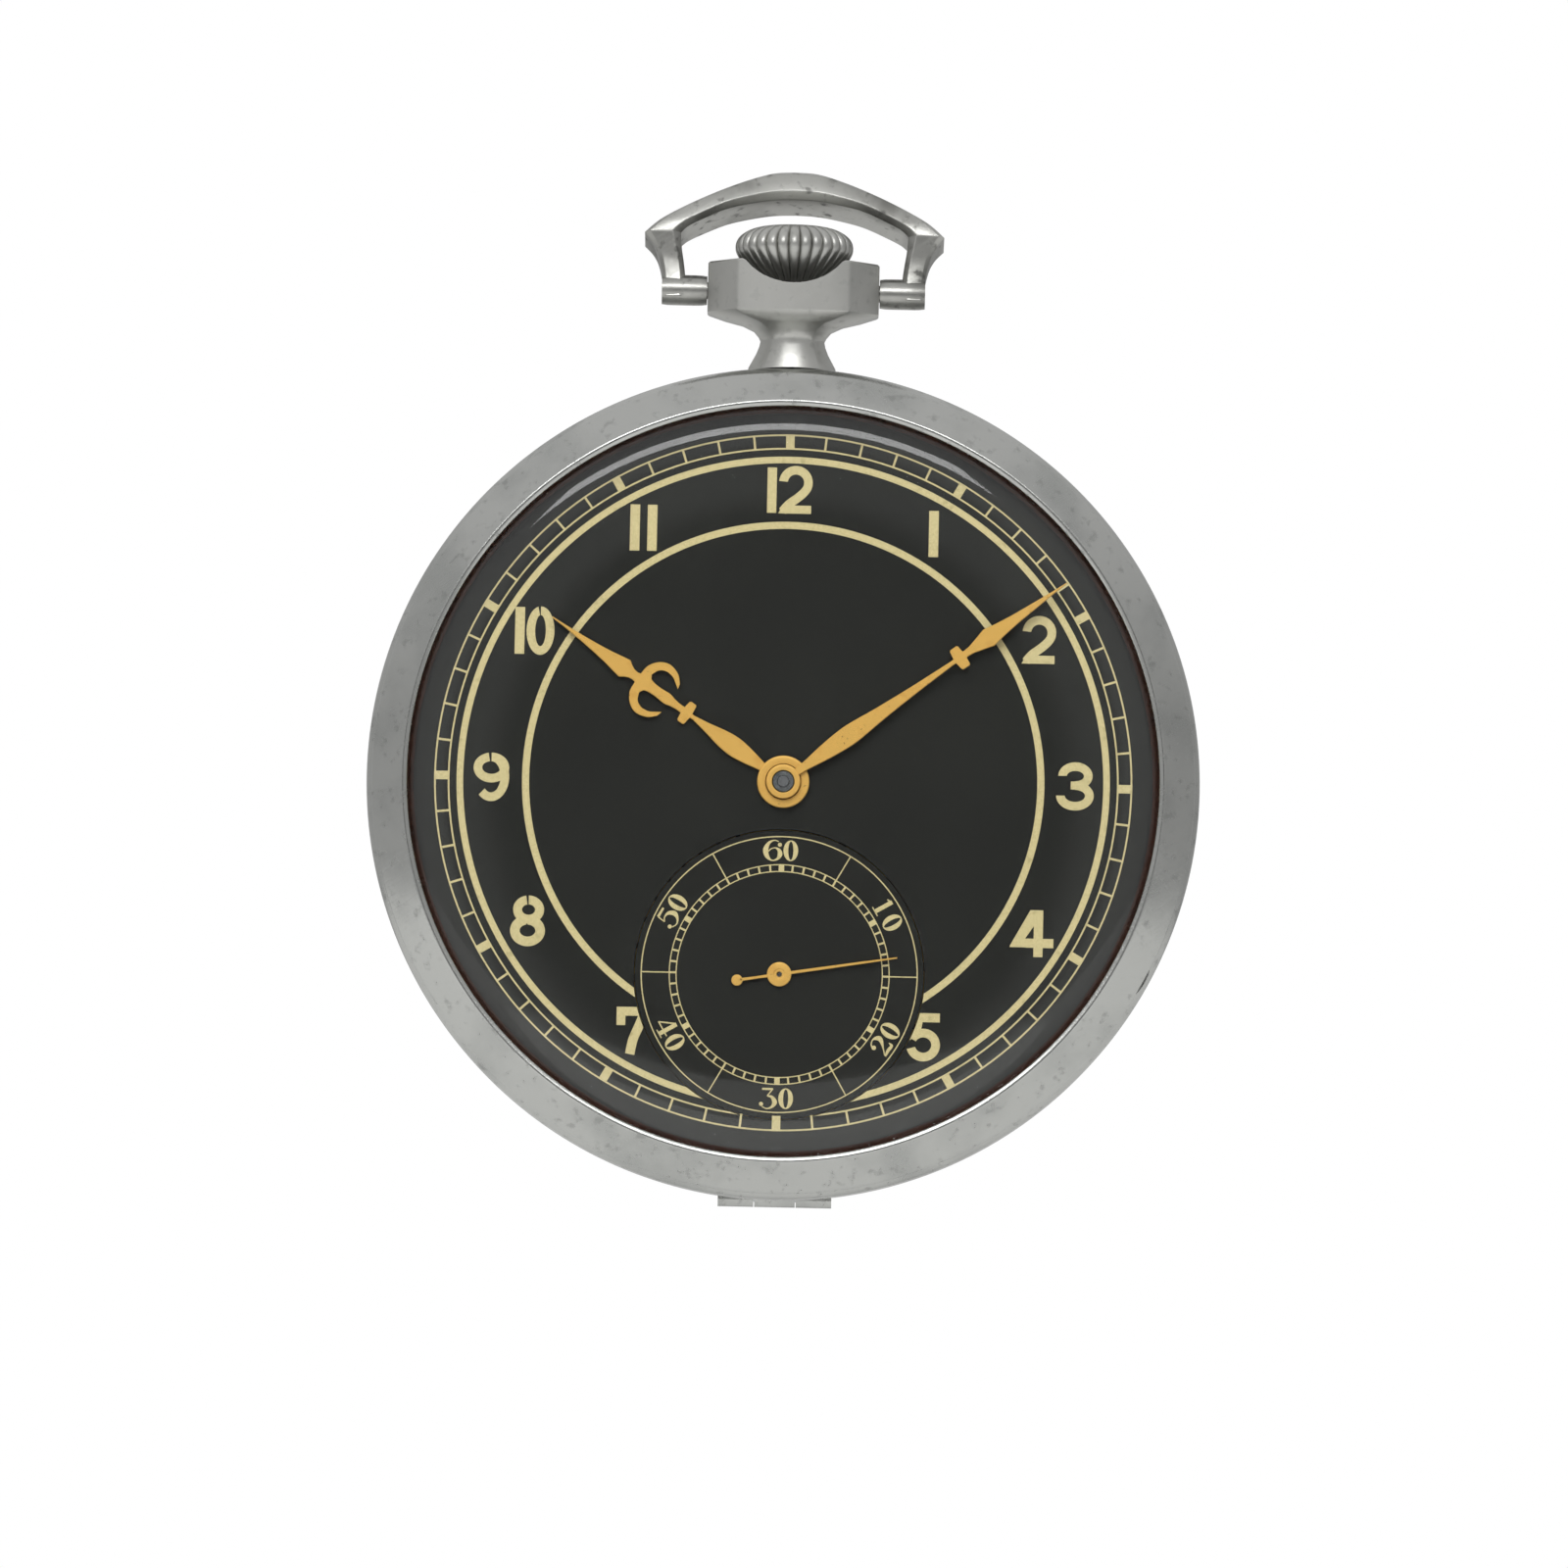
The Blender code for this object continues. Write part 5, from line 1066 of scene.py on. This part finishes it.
def second_hand():
    low, high = rear("second_hand"), front("second_hand")
    heading = radians(90 - SECOND_HAND_ANGLE)
    needle = blade([(0.4, 0.09), (2.0, 0.085), (5.0, 0.07), (6.98, 0.04)], low, high, heading,
                   SUBDIAL_AT, 0.02)
    tail = blade([(0.4, 0.1), (1.2, 0.075), (2.3, 0.09)], low, high, heading + pi, SUBDIAL_AT, 0.02)
    x, _, z = hand_point(2.5, 0.0, 0.0, heading + pi, SUBDIAL_AT)
    ball = [(0.02, low), (0.33, low, 0.01), (0.33, high, 0.05), (0.02, high)]
    hub = [(0.02, low), (0.72, low, 0.02), (0.72, high, 0.08), (0.34, high + 0.02, 0.02),
           (0.3, high - 0.02, 0.01), (0.02, high - 0.02)]
    return joined([needle, tail, lathe(rounded(ball, 0.0, 3), 32, (x, z)),
                   lathe(rounded(hub, 0.0, 3), 48, SUBDIAL_AT)])


def jewel(place, face):
    """A ring-shaped stone in a bridge's outer face, with a cupped middle."""
    profile = [(0.24, face - 0.01), (0.34, face - 0.05), (0.62, face - 0.05, 0.04),
               (0.7, face + 0.02, 0.02), (0.7, face + 0.12), (0.24, face + 0.12)]
    return lathe(rounded(profile, 0.01, 3), 40, place, loop=True)


# ---- the stage -----------------------------------------------------------------------------
FLOOR_R = 250.0


def floor_board(drop):
    """A round board whose upper face is a drop below the dial's middle, in millimetres."""
    outline = ((FLOOR_R, -drop - 4), (FLOOR_R, -drop - 0.5), (FLOOR_R - 0.5, -drop), (1, -drop))
    return loft([[(x, y, z) for x, y in around(128, r)] for r, z in outline])


def studio_light(scene):
    """A grey room that is white to the eye, paler high up and darker behind the camera."""
    scene.world = bpy.data.worlds.new("Studio")
    scene.world.use_nodes = True
    nodes = Nodes(scene.world.node_tree)
    nodes.tree.nodes.clear()
    x, y, z = nodes.axes(nodes.node("ShaderNodeTexCoord", output="Object"))
    walls = nodes.ramp(z, -0.36, -0.30, 0.46, 0.47) + nodes.ramp(z, 0.1, 0.95, 0.0, 0.26) + x * -0.04
    ahead = nodes.ramp(y * -1.0, 0.97, 0.995, 1.0, 0.0)
    room = walls * (ahead * 0.91 + 0.09)
    shown = nodes.node("ShaderNodeLightPath", output="Is Camera Ray")
    light = nodes.node("ShaderNodeBackground",
                       {"Color": WHITE, "Strength": room * (1.0 - shown) + shown})
    nodes.node("ShaderNodeOutputWorld", {"Surface": light})


def soft_box(name, azimuth, elevation, distance, width, height, power):
    """A rectangular light aimed at the dial; azimuth and elevation in degrees from straight ahead."""
    light = bpy.data.lights.new(name, "AREA")
    light.shape = "RECTANGLE"
    light.size = width
    light.size_y = height
    light.energy = power
    box = in_scene(name, light)
    a, e = radians(azimuth), radians(elevation)
    box.location = (distance * cos(e) * sin(a), -distance * cos(e) * cos(a), distance * sin(e))
    box.rotation_euler = (-box.location).to_track_quat("-Z", "Y").to_euler()
    return box


def set_camera(scene, settings):
    data = bpy.data.cameras.new("Camera")
    data.lens = settings.lens
    data.sensor_width = 36.0
    data.shift_x, data.shift_y = 0.0005, -0.0012
    data.clip_start = 0.01
    camera = in_scene("Camera", data)
    target = Vector((0.0, -DIAL_H * MM, 0.0))
    away = Vector((0.0, -cos(settings.elevation), sin(settings.elevation)))
    facing = (-away).to_track_quat("-Z", "Y").to_matrix().to_4x4()
    camera.matrix_world = (Matrix.Translation(target + away * settings.distance) @ facing
                           @ Matrix.Rotation(settings.roll, 4, "Z"))
    scene.camera = camera


# ---- settings and operators ----------------------------------------------------------------
class WatchCaseSettings(bpy.types.PropertyGroup):
    """Choices for the metal case."""

    smooth_angle: bpy.props.FloatProperty(
        name="Smooth Angle", description="Edges sharper than this stay crisp",
        default=radians(32), subtype="ANGLE")
    flutes: bpy.props.IntProperty(
        name="Crown Flutes", description="Grooves round the winding crown", default=30, min=12)


class WatchDialSettings(bpy.types.PropertyGroup):
    """Choices for the dial print."""

    paint_depth: bpy.props.FloatProperty(
        name="Paint Depth", description="How far the dial paint stands up",
        default=0.00002, unit="LENGTH", subtype="DISTANCE", precision=6)
    minutes: bpy.props.IntProperty(
        name="Minute Ticks", description="Ticks in the outer track", default=60, min=12)


class WatchStageSettings(bpy.types.PropertyGroup):
    """Choices for the camera and the floor."""

    distance: bpy.props.FloatProperty(
        name="Camera Distance", description="From the dial to the lens", default=0.6,
        unit="LENGTH", subtype="DISTANCE")
    lens: bpy.props.FloatProperty(
        name="Lens", description="Focal length in millimetres", default=234.6, unit="CAMERA")
    elevation: bpy.props.FloatProperty(
        name="Elevation", description="Height of the camera over the dial's axis",
        default=radians(-3.5), subtype="ANGLE")
    roll: bpy.props.FloatProperty(
        name="Roll", description="Turn of the camera about its own axis", default=radians(1.2),
        subtype="ANGLE")
    floor_drop: bpy.props.FloatProperty(
        name="Floor Drop", description="Distance from the dial's middle to the floor",
        default=0.055, unit="LENGTH", subtype="DISTANCE")


class WATCH_OT_case(bpy.types.Operator):
    """Build the middle ring of the case and its hinged back"""

    bl_idname = "watch.case"
    bl_label = "Case and Back"

    def execute(self, context):
        sharp = degrees(context.scene.watch_case.smooth_angle)
        nickel = finishes["case nickel"]
        piece("Case_Middle", case_ring(), nickel, "case", ["case_middle"], sharp)
        piece("Back_Cover", back_shell(), nickel, "back", ["back_cover"], sharp)
        inside, outside, low, high = APERTURE_R - 0.35, APERTURE_R + 0.3, 7.45, 7.56
        seam = lathe([(inside, low), (outside, low), (outside, high), (inside, high)], loop=True)
        piece("Dial_Seat_Gasket", seam, finishes["dark seam"], "case")
        return {"FINISHED"}


class WATCH_OT_bezel(bpy.types.Operator):
    """Build the snap-on bezel with its thumb lip, and the crystal"""

    bl_idname = "watch.bezel"
    bl_label = "Bezel and Crystal"

    def execute(self, context):
        piece("Bezel", bezel_ring(), finishes["case nickel"], "front", ["bezel"], 36)
        piece("Crystal", crystal_glass(), finishes["crystal glass"], "front",
              ["crystal"], 50)
        return {"FINISHED"}


class WATCH_OT_pendant(bpy.types.Operator):
    """Build the pendant block, the bow and the fluted crown"""

    bl_idname = "watch.pendant"
    bl_label = "Pendant, Bow and Crown"

    def execute(self, context):
        flutes = context.scene.watch_case.flutes
        satin = finishes["satin nickel"]
        piece("Pendant", pendant_body(), satin, "case", ["pendant"], 24)
        piece("Bow", bow_body(), finishes["rough nickel"], "bow", ["bow"], 28)
        crown = repeated(crown_flute(flutes), flutes, satin, (0, 0, 1), merge=2e-7)
        moved(crown, Matrix.Translation((0.0, -STEM_H * MM, 0.0)))
        piece("Crown", crown, satin, "crown_group", ["crown"], 60)
        return {"FINISHED"}


class WATCH_OT_dial(bpy.types.Operator):
    """Build the dial, the sunk seconds dial and everything painted on them"""

    bl_idname = "watch.dial"
    bl_label = "Dial and Print"

    def execute(self, context):
        settings = context.scene.watch_dial
        depth = settings.paint_depth / MM
        lacquer, paint = finishes["dial lacquer"], finishes["dial paint"]
        piece("Dial", dial_plate(), lacquer, "case", ["dial"])
        sunk = slab(united([disc(SUBDIAL_AT, SUBDIAL_R - 0.02, 128)], [disc(SUBDIAL_AT, 0.45, 24)]),
                    rear("seconds_subdial"), SUBDIAL_H)
        piece("Seconds_Dial", sunk, lacquer, "case", ["seconds_subdial"])
        # a set of marks stands a little above or below the circles that it crosses
        low, high = DIAL_H - 0.01, DIAL_H + depth
        hole = [disc(SUBDIAL_AT, SUBDIAL_R + 0.06, 128)]
        layers = [slab(united(dial_shapes(), hole), low, high)]
        layers.append(repeated(mark(*MINUTE_TICK, low, high - 0.004), settings.minutes, paint))
        layers.append(repeated(mark(*HOUR_BLOCK, low, high + 0.003), 12, paint))
        piece("Dial_Print", joined(layers), paint, "case")
        low, high = SUBDIAL_H - 0.01, SUBDIAL_H + depth
        layers = [slab(united(shapes), low, high) for shapes in seconds_shapes()]
        spoke = moved(mark(*SPOKE, low, high - 0.002), Matrix.Rotation(radians(30), 4, "Y"))
        lift = Matrix.Translation((0.0, 0.0, SUBDIAL_AT[1] * MM))
        for shape, copies in ((mark(*SECOND_TICK, low, high - 0.004), 60),
                              (mark(*TEN_TICK, low, high + 0.003), 6), (spoke, 6)):
            layers.append(moved(repeated(shape, copies, paint), lift))
        piece("Seconds_Print", joined(layers), paint, "case")
        return {"FINISHED"}


class WATCH_OT_hands(bpy.types.Operator):
    """Build the three hands with their collars"""

    bl_idname = "watch.hands"
    bl_label = "Hands"

    def execute(self, context):
        for name, build, body in (("Hour_Hand", hour_hand, "hour_group"),
                                  ("Minute_Hand", minute_hand, "minute_group"),
                                  ("Second_Hand", second_hand, "fourth_group")):
            node = name.lower()
            piece(name, build(), finishes["hand gold"], body, [node], 40)
        return {"FINISHED"}


DRESSED = {
    "bridge gilt": "main_plate barrel_bridge train_bridge balance_cock pallet_bridge",
    "wheel brass": "hour_wheel minute_wheel centre_wheel third_wheel fourth_wheel barrel barrel_cover "
                   "balance_wheel",
    "bright steel": "cannon_pinion setting_wheel centre_pinion third_pinion fourth_pinion "
                    "escape_wheel escape_pinion pallet_fork balance_staff regulator ratchet_wheel "
                    "barrel_arbor crown_wheel click winding_pinion winding_stem sliding_clutch "
                    "setting_lever yoke back_hinge_pin",
    "blued steel": "balance_cock_screw barrel_bridge_screw_left barrel_bridge_screw_right "
                   "case_screw_lower case_screw_upper crown_wheel_screw pallet_bridge_screw "
                   "train_bridge_screw_left train_bridge_screw_right hairspring",
    "spring steel": "mainspring click_spring",
}


class WATCH_OT_movement(bpy.types.Operator):
    """Give every part of the movement its finish and set the jewels"""

    bl_idname = "watch.movement"
    bl_label = "Movement"

    def execute(self, context):
        for finish, nodes in DRESSED.items():
            for node in nodes.split():
                dress(node, finishes[finish])
        jewels = [jewel(middle(node), rear("train_bridge"))
                  for node in ("third_pinion", "fourth_pinion", "escape_pinion")]
        jewels.append(jewel(middle("balance_staff"), rear("balance_cock")))
        piece("Pivot_Jewels", joined(jewels), finishes["ruby"], "case")
        return {"FINISHED"}


class WATCH_OT_stage(bpy.types.Operator):
    """Set the floor, the studio light and the camera"""

    bl_idname = "watch.stage"
    bl_label = "Stage"

    def execute(self, context):
        scene = context.scene
        settings = scene.watch_stage
        scene.view_settings.view_transform = "Standard"
        data = to_data(floor_board(settings.floor_drop / MM), "Floor")
        data.materials.append(finishes["pale floor"])
        in_scene("Floor", data)
        studio_light(scene)
        key = soft_box("Key Soft Box", azimuth=-12, elevation=47, distance=0.8, width=0.8,
                       height=0.42, power=8.0)
        key.visible_glossy = False
        strip = soft_box("Edge Strip", azimuth=-4, elevation=31, distance=0.9, width=0.6,
                         height=0.14, power=2.2)
        set_camera(scene, settings)
        return {"FINISHED"}


class WATCH_PT_panel(bpy.types.Panel):
    """Buttons and settings of the watch"""

    bl_label = "Pocket Watch"
    bl_space_type = "VIEW_3D"
    bl_region_type = "UI"
    bl_category = "Watch"

    def draw(self, context):
        layout = self.layout
        scene = context.scene
        for settings in (scene.watch_case, scene.watch_dial, scene.watch_stage):
            box = layout.box()
            for key in settings.__annotations__:
                box.prop(settings, key)
        for operator in OPERATORS:
            layout.operator(operator.bl_idname)


SETTINGS = {"watch_case": WatchCaseSettings, "watch_dial": WatchDialSettings,
            "watch_stage": WatchStageSettings}
OPERATORS = (WATCH_OT_case, WATCH_OT_bezel, WATCH_OT_pendant, WATCH_OT_dial, WATCH_OT_hands,
             WATCH_OT_movement, WATCH_OT_stage)


def register():
    for kind in (*SETTINGS.values(), *OPERATORS, WATCH_PT_panel):
        bpy.utils.register_class(kind)
    for key, kind in SETTINGS.items():
        setattr(bpy.types.Scene, key, bpy.props.PointerProperty(type=kind))


def unregister():
    for key in SETTINGS:
        delattr(bpy.types.Scene, key)
    for kind in (WATCH_PT_panel, *OPERATORS[::-1], *list(SETTINGS.values())[::-1]):
        bpy.utils.unregister_class(kind)


def main():
    register()
    for operator in OPERATORS:
        getattr(bpy.ops.watch, operator.bl_idname.split(".")[1])()


if __name__ == "__main__":
    main()
